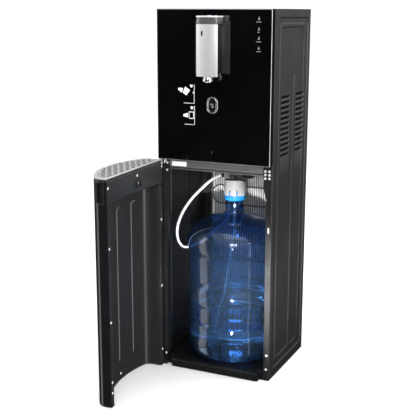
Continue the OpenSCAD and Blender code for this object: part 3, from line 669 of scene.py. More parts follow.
def side_relief(y, z):
    """Height of the pressed side sheet over the side plane; negative is inwards."""
    groove = in_rect(y, z, -0.1185, 0.1235, 0.027, 1.007, 0.016, SLOPE)
    ridge = in_rect(y, z, -0.1015, 0.105, 0.042, 0.992, 0.012, SLOPE)
    field = in_rect(y, z, -0.092, 0.092, 0.053, 0.982, 0.010, SLOPE)
    rib = in_rect(y, z, 0.010, 0.030, -0.05, 0.850, 0.010, 0.004)
    h = (-2.5 * groove + 2.0 * ridge - 2.1 * field + 2.5 * rib * field) * MM
    edge = 4 * MM
    d = min(edge, HALF_DEPTH - abs(y))
    return h - (edge - math.sqrt(max(0.0, edge ** 2 - (edge - d) ** 2)))


def thin_sheet(name, verts, faces, mat, thickness, sharp_deg):
    """Open sheet that gets its thickness inwards; gives the piece and its thickness modifier."""
    mesh = bpy.data.meshes.new(name)
    mesh.from_pydata(verts, [], faces)
    smooth(mesh, sharp_deg)
    obj = bpy.data.objects.new(name, mesh)
    SCENE.collection.objects.link(obj)
    mesh.materials.append(mat)
    thick = obj.modifiers.new("sheet", "SOLIDIFY")
    thick.thickness = thickness
    thick.offset = -1
    return obj, thick


def around(*centres, half=4, step=1.0):
    return [(c + i * step) * MM for c in centres for i in range(-half, half + 1)]


def side_grid():
    """Lines of the side sheet's mesh, close together where the sheet bends."""
    y = [-HALF_DEPTH + d * MM for d in (0, 0.2, 0.8, 1.8, 3, 4)]
    y += [-v for v in y] + around(-118.5, -101.5, -92, 92, 105, 123.5, half=3, step=0.8)
    y += around(10, 30, half=3) + [15 * MM, 20 * MM, 25 * MM]
    for a, b in LOUVRE_COLUMNS:
        y += [a, a + 1 * MM, a + 3 * MM, (a + b) / 2, b - 3 * MM, b - 1 * MM, b]
    z = [0, 1 * MM, 15 * MM] + around(27, 42, 53, 850, 982, 992, 1007, half=3, step=0.8)
    z += [k * 30 * MM for k in range(3, 20)]
    z += [v * MM for v in (880, 910, 940, 1020, 1029)] + [TOP_Z]
    for k in range(LOUVRE_ROWS):
        top = LOUVRE_TOP - k * LOUVRE_PITCH
        z += [top, top - LOUVRE_GAP] + [top - LOUVRE_HEIGHT * t for t in (0.45, 0.65, 0.85, 1.0)]
    clean = lambda v: sorted({round(q, 5) for q in v})
    return clean(y), clean(z)


def louvre_depth(y, z):
    """Depth of the pressed louvres at a point of the side sheet, 0 between them."""
    for a, b in LOUVRE_COLUMNS:
        if a <= y <= b:
            taper = ease(a, a + 1 * MM, y) * (1 - ease(b - 1 * MM, b, y))
            for k in range(LOUVRE_ROWS):
                below = LOUVRE_TOP - k * LOUVRE_PITCH - z
                if LOUVRE_GAP * 0.9 <= below <= LOUVRE_HEIGHT:
                    return LOUVRE_DEPTH * taper * (LOUVRE_HEIGHT - below) / (LOUVRE_HEIGHT - LOUVRE_GAP)
    return 0.0


def add_side(side, sign):
    ys, zs = side_grid()
    verts = []
    for z in zs:
        for y in ys:
            h = side_relief(y, z) - louvre_depth(y, z)
            verts.append((sign * (SIDE_X + h), y, z))
    n = len(ys)
    cuts = {round(LOUVRE_TOP - k * LOUVRE_PITCH - LOUVRE_GAP, 5) for k in range(LOUVRE_ROWS)}
    faces = []
    for i in range(len(zs) - 1):
        for k in range(n - 1):
            mid = (ys[k] + ys[k + 1]) / 2
            if zs[i] in cuts and any(a + 0.5 * MM < mid < b - 0.5 * MM for a, b in LOUVRE_COLUMNS):
                continue
            quad = cell(i, k, n)
            faces.append(quad if sign > 0 else quad[::-1])
    obj, thick = thin_sheet("side_sheet_" + side, verts, faces, MAT["side"], SIDE_THICKNESS, 40)
    thick.use_rim = False
    attach(obj, CABINET, "painted_side_sheet", ["side_panel_" + side])


def add_louvre_shade_sheets():
    """Black sheets behind the louvres, painted shade standing in for the dark inside of the cabinet, so
    that no light shows through them.
    """
    outline = rounded_rect(-98 * MM, 108 * MM, 626 * MM, 812 * MM, 3 * MM, 3)
    for side, sign in (("left", -1), ("right", 1)):
        rings = [[(sign * x, y, z) for y, z in outline] for x in LOUVRE_SHADE_SHEET_X]
        make_object("louvre_shade_sheet_" + side, *loft(rings), MAT["frame_black"], CABINET)


add_side("right", 1)
add_side("left", -1)
add_louvre_shade_sheets()


# Fascia --------------------

GLASS_FRONT, GLASS_BACK = -168 * MM, -164 * MM
BUTTON_Z = 776 * MM


def add_glass():
    """Glass sheet with a pale ground edge and an oval opening for the button."""
    x0, z0, z1 = 167.4 * MM, 619.6 * MM, 1029.4 * MM
    hole = [(x, z + BUTTON_Z) for x, z in stadium(33.4 * MM, 46.4 * MM, 20)]
    outer = []
    for x, z in hole:
        dx, dz = x, z - BUTTON_Z
        reach = min(x0 / abs(dx) if dx else 1e9,
                    ((z1 - BUTTON_Z) / dz if dz > 0 else (z0 - BUTTON_Z) / dz) if dz else 1e9)
        outer.append((dx * reach, BUTTON_Z + dz * reach))
    for corner in [(sx * x0, z) for sx in (-1, 1) for z in (z0, z1)]:
        k = min(range(len(outer)), key=lambda i: math.dist(outer[i], corner))
        outer[k] = corner
    edge = 0.9 * MM
    pulled = [(x * (1 - edge / x0), z + (edge if z < z0 + edge else -edge if z > z1 - edge else 0))
              for x, z in outer]
    rings = [(hole, GLASS_BACK), (hole, GLASS_FRONT), (pulled, GLASS_FRONT),
             (outer, GLASS_FRONT + edge), (outer, GLASS_BACK), (hole, GLASS_BACK)]
    verts, faces = loft([[(x, y, z) for x, z in ring] for ring, y in rings], close_ends=False)
    glass = make_object("fascia_glass_sheet", verts, faces, [MAT["glass_black"], MAT["glass_edge"]],
                        CABINET, slot="black_glass", replaces=["fascia_glass"])
    for face in glass.data.polygons:
        c = face.center
        on_rim = abs(c.x) > x0 - edge or not z0 + edge < c.z < z1 - edge
        if GLASS_FRONT < c.y < GLASS_FRONT + edge and on_rim:
            face.material_index = 1


def flat_print(name, outlines, mat=MAT["print"], body=CABINET, y=GLASS_FRONT, lift=0.25 * MM):
    """Thin printed shapes on a front face at y; outlines are in millimetres, X and Z."""
    parts = []
    for outline in outlines:
        ring = mm_points(outline)
        parts.append(loft([[(x, y, z) for x, z in ring], [(x, y - lift, z) for x, z in ring]]))
    return make_object(name, *merged(parts), mat, body)


def bar(x0, x1, z0, z1):
    return [(x0, z0), (x1, z0), (x1, z1), (x0, z1)]


def turned(outline, cx, cz, deg):
    c, s = math.cos(math.radians(deg)), math.sin(math.radians(deg))
    return [(cx + x * c - z * s, cz + x * s + z * c) for x, z in outline]


def add_pictograms():
    cup = [(-6.5, -9), (6.5, -9), (8.5, 9), (-8.5, 9)]
    hand = [(-13, -3.5), (-8, -3.5), (-4, -6), (0, -6), (0, 5.5), (-5, 5.5), (-8, 3), (-13, 3.5)]
    outlet = [(-4, 4), (4, 4), (4, 1), (1.8, -2.4), (0, -4), (-1.8, -2.4), (-4, 1)]
    shapes = [turned(cup, -79, 811, -32), turned(hand, -90, 813, -18),
              turned(outlet, -63, 825, 0), bar(-55, -54, 779, 830), bar(-86, -54, 778.4, 779.4),
              turned(arc(0, 0, 2, 0, 360, 10)[:-1], -57, 808, 0),
              turned(hand, -74, 746, 4), turned(outlet, -61.5, 766, 0),
              bar(-54, -53, 721, 772), bar(-84, -53, 720.4, 721.4)]
    shapes += [bar(-71, -69.4, 737, 756), bar(-57, -55.4, 737, 756), bar(-71, -55.4, 737, 738.6),
               bar(-71, -55.4, 754.4, 756)]
    flat_print("fascia_pictograms", shapes)


def add_icons():
    """Four small mode marks with an underline each."""
    x, shapes = 131, []
    for z, width in ((1004, 15), (978, 9), (954, 15), (929, 12)):
        shapes.append(turned(arc(0, 0, 2.6, 200, 520, 12), x, z, 0))
        shapes.append(bar(x - 0.7, x + 0.7, z + 2.6, z + 6))
        shapes += [bar(x - width / 2 + k * 2.4, x - width / 2 + k * 2.4 + 1.7, z - 8.6, z - 6.4)
                   for k in range(int(width / 2.4))]
    flat_print("fascia_icons", shapes, MAT["icon_print"], lift=0.2 * MM)


def closed_tube(points, radius, sides=8):
    """Ring-shaped wire through a closed row of points in the X-Z plane."""
    rings, n = [], len(points)
    for i in range(n):
        a, b = Vector(points[i - 1]), Vector(points[(i + 1) % n])
        d = (b - a).normalized()
        side = d.cross(Vector((0, 1, 0))).normalized()
        rings.append(circle(Vector(points[i]), side, Vector((0, 1, 0)), radius, sides))
    rings.append(rings[0])
    return loft(rings, close_ends=False)


def add_button_trim():
    y = -169.1 * MM
    lobes, scallop = 16, 0.7 * MM
    outer, n = [], 128
    base = stadium(30 * MM, 43 * MM, n // 2 - 1)
    for i, (x, z) in enumerate(base):
        out = Vector((x, z)).normalized() * scallop * abs(math.sin(math.pi * lobes * i / len(base)))
        outer.append((x + out.x, y, z + out.y + BUTTON_Z))
    inner = [(x, y, z + BUTTON_Z) for x, z in stadium(22.2 * MM, 40 * MM, 24)]
    make_object("button_trim", *merged([closed_tube(outer, 0.55 * MM), closed_tube(inner, 0.5 * MM)]),
                MAT["trim"], CABINET)
    mark = arc(0, 0, 4.2, 20, 170, 10)
    mark += [(0.82 * x, 0.82 * z) for x, z in reversed(mark)]
    shapes = [turned(mark, -1, 776, 0), bar(-0.5, 0.5, 770, 775), bar(2, 4.5, 771.5, 772.5)]
    flat_print("button_mark", shapes, body=BUTTON, y=-169.5 * MM, lift=0.3 * MM)


SPOUT_HALF, SPOUT_FRONT, SPOUT_R = 31 * MM, -212 * MM, 84 * MM


def tower_outline(t, back_y, n=16):
    """Plan of the spout tower, counter-clockwise, shrunk by t."""
    half = math.degrees(math.asin((SPOUT_HALF - t) / (SPOUT_R - t)))
    front = arc(0, SPOUT_FRONT + SPOUT_R, SPOUT_R - t, -90 - half, -90 + half, n)
    return [(-SPOUT_HALF + t, back_y)] + front + [(SPOUT_HALF - t, back_y)]


def rounded_outline(points, r):
    """Rounds the corners of a closed outline that turn by more than 25 degrees."""
    out = []
    for i in range(len(points)):
        p, q, s = (Vector(points[k % len(points)]) for k in (i - 1, i, i + 1))
        if (p - q).angle(q - s) < math.radians(25):
            out.append(tuple(q))
        else:
            out += corner_curve(p, q, s, r, 1 / 2.2)
    return out


def add_spout():
    back = GLASS_FRONT
    wall = 2.2 * MM
    side_end = -204.6 * MM
    full = rounded_outline(tower_outline(0, back), 3 * MM)
    front = [p for p in full if p[1] < side_end]
    start = front.index(min(front, key=lambda p: (p[0], -p[1])))
    front = front[start:] + front[:start]
    front = [(-SPOUT_HALF, side_end)] + front + [(SPOUT_HALF, side_end)]
    inner = [(x * (1 - wall / SPOUT_HALF), y + wall if abs(x) < SPOUT_HALF - 0.1 * MM else y)
             for x, y in front]
    plate("spout_front_shell", front + inner[::-1], 855 * MM, 990.6 * MM, 0.5 * MM, MAT["silver"],
          CABINET, slot="silver_shell", replaces=["spout_shell"])
    core = rounded_outline(tower_outline(2.3 * MM, back), 2.4 * MM)
    plate("spout_core", core, 863 * MM, 991 * MM, 1.0 * MM, MAT["gloss_black"], CABINET,
          slot="gloss_black_plastic", replaces=["spout_body"])
    band = rounded_outline(tower_outline(0.4 * MM, back), 3 * MM)
    hollow = inset_outline(band, 2.6 * MM)
    rings = [[level(p, z) for p in ring] for ring, z in
             ((hollow, 991.1 * MM), (band, 991.1 * MM), (band, 1007.9 * MM), (hollow, 1007.9 * MM),
              (hollow, 991.1 * MM))]
    make_object("spout_clear_band", *loft(rings, close_ends=False), MAT["smoke"], CABINET,
                slot="smoked_band", replaces=["spout_band"])
    deck = rounded_outline(tower_outline(4 * MM, back + 1 * MM), 2 * MM)
    plate("spout_inner_deck", deck, 991.2 * MM, 994 * MM, 0.5 * MM, MAT["dark_grey"], CABINET)
    reach, gap = 50, 31.2
    stand = [(-reach, 862), (reach, 862), (reach, 998), (gap, 998), (gap, 990.8), (-gap, 990.8),
             (-gap, 998), (-reach, 998)]
    plate("spout_stand_plate", mm_points(stand), back - 3 * MM, back, 0.5 * MM, MAT["backplate"],
          CABINET, place=facing_front)
    sensor = [(x - 12 * MM, z + 967 * MM) for x, z in stadium(5.0 * MM, 13 * MM)]
    plate("spout_sensor", sensor, -211.6 * MM, -210.6 * MM, 0.2 * MM, MAT["gloss_black"], CABINET,
          place=facing_front)


add_glass()
add_pictograms()
add_icons()
add_button_trim()
add_spout()


# Door --------------------

PIN = Vector((-163 * MM, -155 * MM))
OPEN_ANGLE = math.radians(87.5)
DOOR_BACK = -150 * MM
WALL = 2.5 * MM


def opened(x, y, z):
    """Turns a point of the shut door, in metres, to where the open door holds it."""
    c, s = math.cos(OPEN_ANGLE), math.sin(OPEN_ANGLE)
    dx, dy = x - PIN.x, y - PIN.y
    return (PIN.x + dx * c + dy * s, PIN.y - dx * s + dy * c, z)


FRONT_C, FRONT_R = (0, 40), 280
CORNER_R, CORNER_X = 24, 144
CORNER_Y = FRONT_C[1] - math.sqrt((FRONT_R - CORNER_R) ** 2 - CORNER_X ** 2)
CORNER_DEG = math.degrees(math.atan2(FRONT_C[1] - CORNER_Y, CORNER_X))
POCKET_DEG = -28.2


def door_front():
    """Plan of the outer skin from the free edge round to the hinge edge."""
    pts = [(168, -150), (168, -154), (168, -160), (168, -166)]
    pts += arc(CORNER_X, CORNER_Y, CORNER_R, 0, POCKET_DEG, 6)
    pts += arc(CORNER_X, CORNER_Y, CORNER_R, POCKET_DEG, -CORNER_DEG, 7)[1:]
    pts += arc(*FRONT_C, FRONT_R, -CORNER_DEG, CORNER_DEG - 180, 48)[1:-1]
    pts += arc(-CORNER_X, CORNER_Y, CORNER_R, CORNER_DEG - 180, -180, 12)
    pts += [(-168, -168), (-168, -150)]
    return mm_points(pts)


def sheet_object(name, columns, keep, mat, body, thickness, flip=False, painted_shade_rows=None, **kw):
    """Sheet on a grid of points; keep(i, k) says which cells stay, painted_shade_rows which rows are
    painted black as shade.
    """
    n = len(columns[0])
    verts = [p for ring in columns for p in ring]
    faces = [cell(i, k, n) for i in range(len(columns) - 1) for k in range(n - 1) if keep(i, k)]
    faces = [f[::-1] if flip else f for f in faces]
    obj, _ = thin_sheet(name, verts, faces, mat, thickness, 35)
    # Listed rows wear black rubber as painted shade.
    if painted_shade_rows:
        obj.data.materials.append(MAT["rubber"])
        for face in obj.data.polygons:
            row = min(face.vertices) // n
            face.material_index = 1 if painted_shade_rows[0] <= row < painted_shade_rows[1] else 0
    bevel(obj, min(0.8 * MM, thickness / 3), angle=50)
    return attach(obj, body, **kw)


def add_door_skin():
    front = door_front()
    levels = [3, 5, 40, 200, 400, 551, 560, 580, 608, 611]
    columns = [[opened(x, y, z * MM) for x, y in front] for z in levels]

    def keep(i, k):
        in_pocket = 5 <= i <= 7 and 2 <= k < 10
        return not in_pocket

    sheet_object("door_outer_skin", columns, keep, MAT["gloss_black"], DOOR, WALL, flip=True,
                 slot="gloss_black_plastic", replaces=["door_skin"])


def recess_plan():
    """Pairs from the free edge to the hinge edge: point in the recess, point on the flat face."""
    path = []
    for x in (164.4, 163.4, 158, 153.4):
        path.append(((x, -150.0), (x, -150.0)))
    c, r = (-25, 130.2), 344.2
    steps = 44
    for i in range(steps + 1):
        a = math.radians(-59 + (-106.14 + 59) * i / steps)
        p = (c[0] + r * math.cos(a), c[1] + r * math.sin(a))
        path.append((p, (min(152.6, p[0]), -150.0)))
    fc, fr = (-114, -177.4), 24
    for i in range(1, 11):
        a = math.radians(-106.14 + (-180 + 106.14) * i / 10)
        p = (fc[0] + fr * math.cos(a), fc[1] + fr * math.sin(a))
        path.append((p, (max(-137.6, p[0]), -150.0)))
    path += [((-138, -165), (-138, -150.0)), ((-138.6, -152.5), (-138.6, -150.0))]
    for x in (-140.5, -146, -155):
        path.append(((x, -150.0), (x, -150.0)))
    return path


def add_door_liner():
    """Inner liner: flat tray housing above, a rounded shelf, and the deep curved recess below."""
    path = recess_plan()
    shelf = [(6, 0), (30, 0), (150, 0), (300, 0), (450, 0), (530, 0), (541, 0.015), (544.5, 0.06),
             (546.5, 0.14), (547.8, 0.3), (548.6, 0.55), (549.6, 0.82), (551.0, 0.94), (553.5, 1),
             (575, 1), (600, 1), (610, 1)]
    columns = []
    for z, blend in shelf:
        ring = []
        for (px, py), (fx, fy) in path:
            ring.append(opened((px + (fx - px) * blend) * MM, (py + (fy - py) * blend) * MM, z * MM))
        columns.append(ring)
    # Rows 6 to 9, under the shelf's lip, are painted black as shade.
    sheet_object("door_liner", columns, lambda i, k: True, MAT["liner"], DOOR, 2.0 * MM,
                 painted_shade_rows=(6, 10), slot="liner_plastic", replaces=["door_inner_panel"])


def recess_y(x):
    """Depth of the liner's long arc at a distance across the door, in millimetres."""
    return 130.2 - math.sqrt(344.2 ** 2 - (x + 25) ** 2)


def add_liner_ribs():
    """Two pressed ribs whose tops bend towards the hinge, coloured lighter than the liner as a painted
    highlight.
    """
    parts = []
    for x, top in ((3, 500), (-76, 503)):
        pts = [(x, z) for z in (62, 63, 66, 120, 200, 280, 360, 440, top - 16, top - 8)]
        pts += [(x - 1.5, top - 3), (x - 5, top), (x - 11, top + 1.5), (x - 16, top + 1.5)]
        path = [Vector(opened(px * MM, (recess_y(px) - 0.4) * MM, pz * MM)) for px, pz in pts]
        parts.append(tube_geometry(smooth_path(path, 3), 2.1 * MM, 12))
    make_object("liner_ribs", *merged(parts), MAT["liner_rib_painted_highlight"], DOOR)


def head_axes(facing):
    """Direction that a screw head looks in, and two directions across it."""
    w = Vector(facing).normalized()
    u = w.orthogonal().normalized()
    return w, u, w.cross(u)


def screw_geometry(at, facing, radius, height):
    """Domed screw head; facing is the direction that it looks in."""
    w, u, v = head_axes(facing)
    profile = [(1.0, 0), (1.0, 0.35), (0.93, 0.65), (0.75, 0.88), (0.45, 1.0), (0.12, 1.0)]
    return loft([circle(Vector(at) + height * h * w, u, v, radius * r, 20) for r, h in profile])


def cross_geometry(at, facing, radius, height):
    """Black cross in the top of a screw head, painted shade standing in for its cross recess."""
    w, u, v = head_axes(facing)
    a, b = 0.55 * radius, 0.13 * radius
    outline = [(a, b), (b, b), (b, a), (-b, a), (-b, b), (-a, b), (-a, -b), (-b, -b), (-b, -a),
               (b, -a), (b, -b), (a, -b)]
    rings = [[tuple(Vector(at) + p * u + q * v + h * w) for p, q in outline]
             for h in (height * 0.4, height * 1.03)]
    return loft(rings)


def add_screws(name, heads, body, node):
    """heads: (place, direction) pairs in metres."""
    radius, height = 3.3 * MM, 1.2 * MM
    # Near-white heads: partly painted highlight.
    make_object(name, *merged([screw_geometry(at, d, radius, height) for at, d in heads]),
                MAT["screw"], body, slot="zinc_screw", replaces=[node])
    make_object(name + "_recess_painted_shade", *merged([cross_geometry(at, d, radius, height) for at, d in heads]),
                MAT["rubber"], body)


def add_all_screws():
    out = Vector(opened(0, 1, 0)) - Vector(opened(0, 0, 0))
    door = [(161, z) for z in (592, 435, 238, 72, 42)] + [(-147.5, z) for z in (444, 247, 51)]
    door += [(0, 597), (-153, 597), (-153, 607)]
    heads = [(opened(x * MM, DOOR_BACK, z * MM), out) for x, z in door]
    heads.append((opened(-4 * MM, recess_y(-4) * MM, 21 * MM), out))
    heads.append((opened(-2 * MM, DOOR_BACK + 1.5 * MM, 577 * MM), out))
    add_screws("door_screw_heads", heads, DOOR, "door_screws")
    plate_y, post_y = -147.5 * MM, -146 * MM
    front = Vector((0, -1, 0))
    cabinet = [(x, plate_y, z) for x in (148, 159.5) for z in (584, 594, 603.5)]
    cabinet += [(x, plate_y, z) for x, z in ((-159, 607), (-148.5, 606), (-150, 585), (-155, 612))]
    cabinet += [(x, post_y, z) for x, z in ((159, 34), (160, 76), (-158, 30))]
    heads = [((x * MM, y, z * MM), front) for x, y, z in cabinet]
    add_screws("cabinet_screw_heads", heads, CABINET, "cabinet_screws")


def grille_slots():
    """Rectangles of the dash slots, cut short where they meet the rim; shut door, millimetres."""
    out, rim = [], 9
    for row in range(9):
        y = -161 - 9 * row
        reach = (FRONT_R - rim) ** 2 - (FRONT_C[1] - y + 2) ** 2
        if reach <= 0:
            continue
        right, left = min(155, math.sqrt(reach)), max(-139, -math.sqrt(reach))
        for i in range(-4, 6):
            x = 33 * i + (row % 2) * 16.5
            a, b = max(left, x - 12.5), min(right, x + 12.5)
            if b - a > 5:
                out.append([(a, y - 2.6), (b, y - 2.6), (b, y + 2.6), (a, y + 2.6)])
    return out


def grille_rim():
    """Outline of the grille on the shut door, with the finger notch in its front edge."""
    t, back, hinge_x = 0.8, -152.2, -147.2
    free = arc(CORNER_X, CORNER_Y, CORNER_R - t, -CORNER_DEG, 0, 10) + [(168 - t, back)]
    front = [p for p in arc(*FRONT_C, FRONT_R - t, CORNER_DEG - 180, -CORNER_DEG, 90) if p[0] > hinge_x]
    first = (hinge_x, FRONT_C[1] - math.sqrt((FRONT_R - t) ** 2 - hinge_x ** 2))
    left = [p for p in front if p[0] < -3.5]
    right = [p for p in front if p[0] > 27.5]
    notch = [(-3, left[-1][1]), (-3, -236), (27, -236), (27, right[0][1])]
    return [(hinge_x, back), first] + left + notch + right + free


def pierced_plate(name, outline, holes, z0, z1, mat, **kw):
    """Flat plate with holes on the open door, filled from its outlines; millimetres."""
    curve = bpy.data.curves.new(name, "CURVE")
    curve.dimensions = "2D"
    curve.fill_mode = "BOTH"
    curve.extrude = (z1 - z0) / 2 * MM
    for ring in [outline] + holes:
        spline = curve.splines.new("POLY")
        spline.points.add(len(ring) - 1)
        for point, (x, y) in zip(spline.points, ring):
            point.co = (*opened(x * MM, y * MM, 0), 1)
        spline.use_cyclic_u = True
    holder = bpy.data.objects.new(name + "_outline", curve)
    mesh = bpy.data.meshes.new_from_object(holder)
    bpy.data.objects.remove(holder)
    mesh.materials.clear()
    mesh.transform(Matrix.Translation((0, 0, (z0 + z1) / 2 * MM)))
    return finish_mesh(name, mesh, mat, GRILLE, **kw)


def add_grille():
    rim, slots = grille_rim(), grille_slots()
    inner, lip = inset_outline(rim, 3), inset_outline(rim, 1)
    pierced_plate("grille_face", rim, slots, 617.75, 618, MAT["grille"], slot="grille_grey",
                  replaces=["drip_grille"])
    pierced_plate("grille_rim", rim, [inner], 614.8, 617.75, MAT["grille"])
    # The lip under the rim and the slot walls are black: painted shade.
    pierced_plate("grille_lip_painted_shade", lip, [inner], 611.3, 614.8, MAT["rubber"])
    pierced_plate("grille_slot_walls_painted_shade", inner, slots, 611.3, 617.75, MAT["rubber"])


add_grille()
add_door_skin()
add_door_liner()
add_liner_ribs()
add_all_screws()


# Bottle --------------------

BOTTLE_AT = (5 * MM, -18 * MM)
BOTTLE_PROFILE_MM = [
    (0, 34), (60, 32.5), (90, 31), (98, 27.5), (105, 25.6), (115, 26.6), (124, 29.5), (131, 35),
    (135.6, 43), (137.8, 52), (138, 60), (137.6, 70), (136.4, 80), (135, 88), (134.6, 96), (134.6, 112),
    (134.4, 122), (132.4, 127), (132.2, 132), (134, 138), (134.6, 144), (134.6, 182), (135.2, 188),
    (137.4, 193), (137.8, 199), (137.8, 215), (137.2, 222), (135.4, 230), (134.4, 238), (132, 244),
    (132, 251), (134.2, 257), (134.6, 262), (134.6, 322), (134.2, 328), (132.8, 333), (132.8, 338),
    (135, 343), (137.4, 350), (138, 360), (138, 372), (137, 382), (134, 391), (128, 401), (119, 411),
    (106, 421.5), (90, 430), (72, 436.5), (54, 441), (39, 444.5), (30, 449), (26.8, 455.5), (26.4, 464),
    (26.4, 487),
]
WATER_Z = 197 * MM


def profile_points(shrink, mm_profile):
    """The bottle's profile moved inwards along its own normals."""
    pts = [Vector(p) for p in mm_profile]
    out = []
    for i, p in enumerate(pts):
        d = (pts[min(i + 1, len(pts) - 1)] - pts[max(i - 1, 0)]).normalized()
        q = p + shrink * Vector((-d.y, d.x))
        out.append((max(0.0, q.x) * MM, q.y * MM))
    out[0] = (0.0, out[0][1])
    return out


def add_bottle():
    wall = 1.5
    outer = mm_points(BOTTLE_PROFILE_MM)
    inner = profile_points(wall, BOTTLE_PROFILE_MM)
    lip = [(28.4, 488), (28.4, 490), (26.8, 491), (26.8, 514.5), (26.2, 515), (25.4, 514.5)]
    profile = outer + mm_points(lip) + inner[::-1]
    lathe("bottle_shell", profile, BOTTLE_AT, MAT["bottle"], BOTTLE, 112, slot="blue_bottle",
          replaces=["water_bottle"])
    side = profile_points(wall + 0.15, BOTTLE_PROFILE_MM)
    wet = [p for p in side if p[1] < WATER_Z - 2 * MM]
    edge = wet[-1][0]
    wet += [(edge, WATER_Z - 0.3 * MM), (edge - 1.0 * MM, WATER_Z - 0.9 * MM),
            (edge - 3.5 * MM, WATER_Z - 1.2 * MM), (0, WATER_Z - 1.2 * MM)]
    lathe("bottle_water", wet, BOTTLE_AT, MAT["water"], BOTTLE, 112, slot="clear_water",
          replaces=["water"])


CAP_TOP_Z, CAP_LEAN, CAP_TURN = 546 * MM, math.tan(math.radians(6)), math.radians(25)


def cap_plane(x, y):
    """Height of the cap's leaning top at a place relative to its axis."""
    return CAP_TOP_Z - CAP_LEAN * (y * math.cos(CAP_TURN) - x * math.sin(CAP_TURN))


def cap_rim(x, y):
    """Height of the white shell's rim, which drops over a round shoulder on the right."""
    across = x * math.cos(CAP_TURN) + y * math.sin(CAP_TURN) - 13.5 * MM
    if across <= 0:
        return cap_plane(x, y)
    round_z = 528 * MM + math.sqrt(max(0.0, (20 * MM) ** 2 - across ** 2))
    return min(cap_plane(x, y), round_z)


def add_cap():
    """White shell with a slotted skirt, the dark core inside it, and the hose port behind."""
    segs, slots = 180, 9
    first_slot, slot_segs = 9, 4
    skirt_in, skirt_out, core_r = 29.3 * MM, 31.5 * MM, 30.1 * MM
    x0, y0 = BOTTLE_AT
    z_low, z_slot, z_disc = 503 * MM, 520 * MM, 525 * MM
    per = segs // slots

    def ring(r, z):
        out = []
        for k in range(segs):
            a = 2 * math.pi * (k + 0.5) / segs
            x, y = r * math.cos(a), r * math.sin(a)
            out.append((x0 + x, y0 + y, cap_rim(x, y) + z if z <= 0 else z))
        return out

    def in_slot(k):
        return (k - first_slot) % per < slot_segs

    rings = [ring(0.02 * MM, z_slot + 1 * MM), ring(skirt_in, z_slot + 1 * MM), ring(skirt_in, z_slot),
             ring(skirt_in, z_low), ring(skirt_out, z_low), ring(skirt_out, z_slot),
             ring(skirt_out, -1.0 * MM), ring(skirt_out - 0.3 * MM, -0.3 * MM),
             ring(skirt_out - 0.8 * MM, 0), ring(core_r, 0), ring(core_r, z_disc),
             ring(0.02 * MM, z_disc)]
    n = segs
    verts = [p for r in rings for p in r]
    faces = []
    for i in range(len(rings) - 1):
        for k in range(n):
            if in_slot(k) and i in (2, 3, 4):
                continue
            faces.append(cell(i, k, n))
    for k in range(n):
        nxt = (k + 1) % n
        if in_slot(k):
            faces.append((2 * n + k, 2 * n + nxt, 5 * n + nxt, 5 * n + k))
            if not in_slot(k - 1):
                faces.append((2 * n + k, 3 * n + k, 4 * n + k, 5 * n + k))
            if not in_slot(k + 1):
                faces.append((2 * n + nxt, 5 * n + nxt, 4 * n + nxt, 3 * n + nxt))
    cap = make_object("probe_cap_shell", verts, faces, MAT["white"], PROBE, slot="white_plastic")
    port_at = (x0 + 1 * MM, y0 + 48 * MM)
    bore = 4.3 * MM
    port = fillet_profile([(bore, 518 * MM), (bore, 500 * MM), (7 * MM, 500 * MM), (7 * MM, 530 * MM),
                           (0.01 * MM, 530 * MM)], 0.8 * MM)
    parts = [lathe_geometry(port, port_at, 32)]
    arm = rounded_rect(x0 - 4 * MM, x0 + 6 * MM, y0 + 30.6 * MM, y0 + 44 * MM, 1.5 * MM, 3)
    parts.append(loft(slab_rings(arm, 506 * MM, 529 * MM, 1 * MM, level)))
    make_object("probe_port", *merged(parts), MAT["white"], PROBE)
    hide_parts("probe_cap")
    top_r = 29.9 * MM
    rings = []
    for r, lift in ((0.001, None), (1.0, None), (1.0, -1.2 * MM), (0.98, -0.4 * MM), (0.94, 0.0),
                    (0.001, 0.0)):
        out = []
        for k in range(96):
            a = 2 * math.pi * k / 96
            x, y = top_r * r * math.cos(a), top_r * r * math.sin(a)
            z = z_disc + 0.1 * MM if lift is None else cap_plane(x, y) + lift
            out.append((x0 + x, y0 + y, z))
        rings.append(out)
    spigot = lathe_geometry([(0.01 * MM, 545 * MM), (3 * MM, 545 * MM), (3 * MM, 557 * MM),
                             (2.2 * MM, 558 * MM), (0.01 * MM, 558 * MM)], (x0, y0), 24)
    make_object("probe_cap_lid", *merged([loft(rings), spigot]), MAT["lid"], PROBE,
                slot="dark_grey_trim", replaces=["probe_cap_top"], sharp_deg=50)


def add_ring():
    profile = [(27.0, 491.4), (27.0, 514.2), (28.8, 514.2), (28.8, 502.4), (30.4, 502.4), (30.8, 501.6),
               (30.8, 490.2), (30.2, 489.2), (28.7, 489.2), (28.6, 491.2), (27.0, 491.4)]
    lathe("neck_ring", mm_points(profile), BOTTLE_AT, MAT["sky_blue"], BOTTLE, 72,
          slot="light_blue_plastic", replaces=["snap_ring"])


def add_dip_tube():
    """Suction tube: straight through the neck, then a lean towards the strainer."""
    route = [(5, -18, 518), (5, -18, 470), (5, -18, 440), (4.2, -18.4, 412), (1.6, -19.7, 380),
             (-10, -25.3, 289), (-24, -32.1, 176), (-36, -38, 79)]
    path = smooth_path([Vector(p) * MM for p in route])
    make_object("dip_tube_smooth", *tube_geometry(path, 4 * MM, 16), MAT["clear_tube"], PROBE,
                slot="clear_tube", replaces=["dip_tube"])


def add_hose_clip():
    """Black sleeve that holds the start of the hose to the ceiling fitting."""
    path = [Vector(p) * MM for p in ((-10.2, -60, 565), (-14, -60, 565), (-18, -60, 565))]
    make_object("hose_clip", *tube_geometry(path, 6 * MM, 24), MAT["rubber"], CABINET)


add_bottle()
add_cap()
add_ring()
add_dip_tube()
add_hose_clip()


# Condenser --------------------

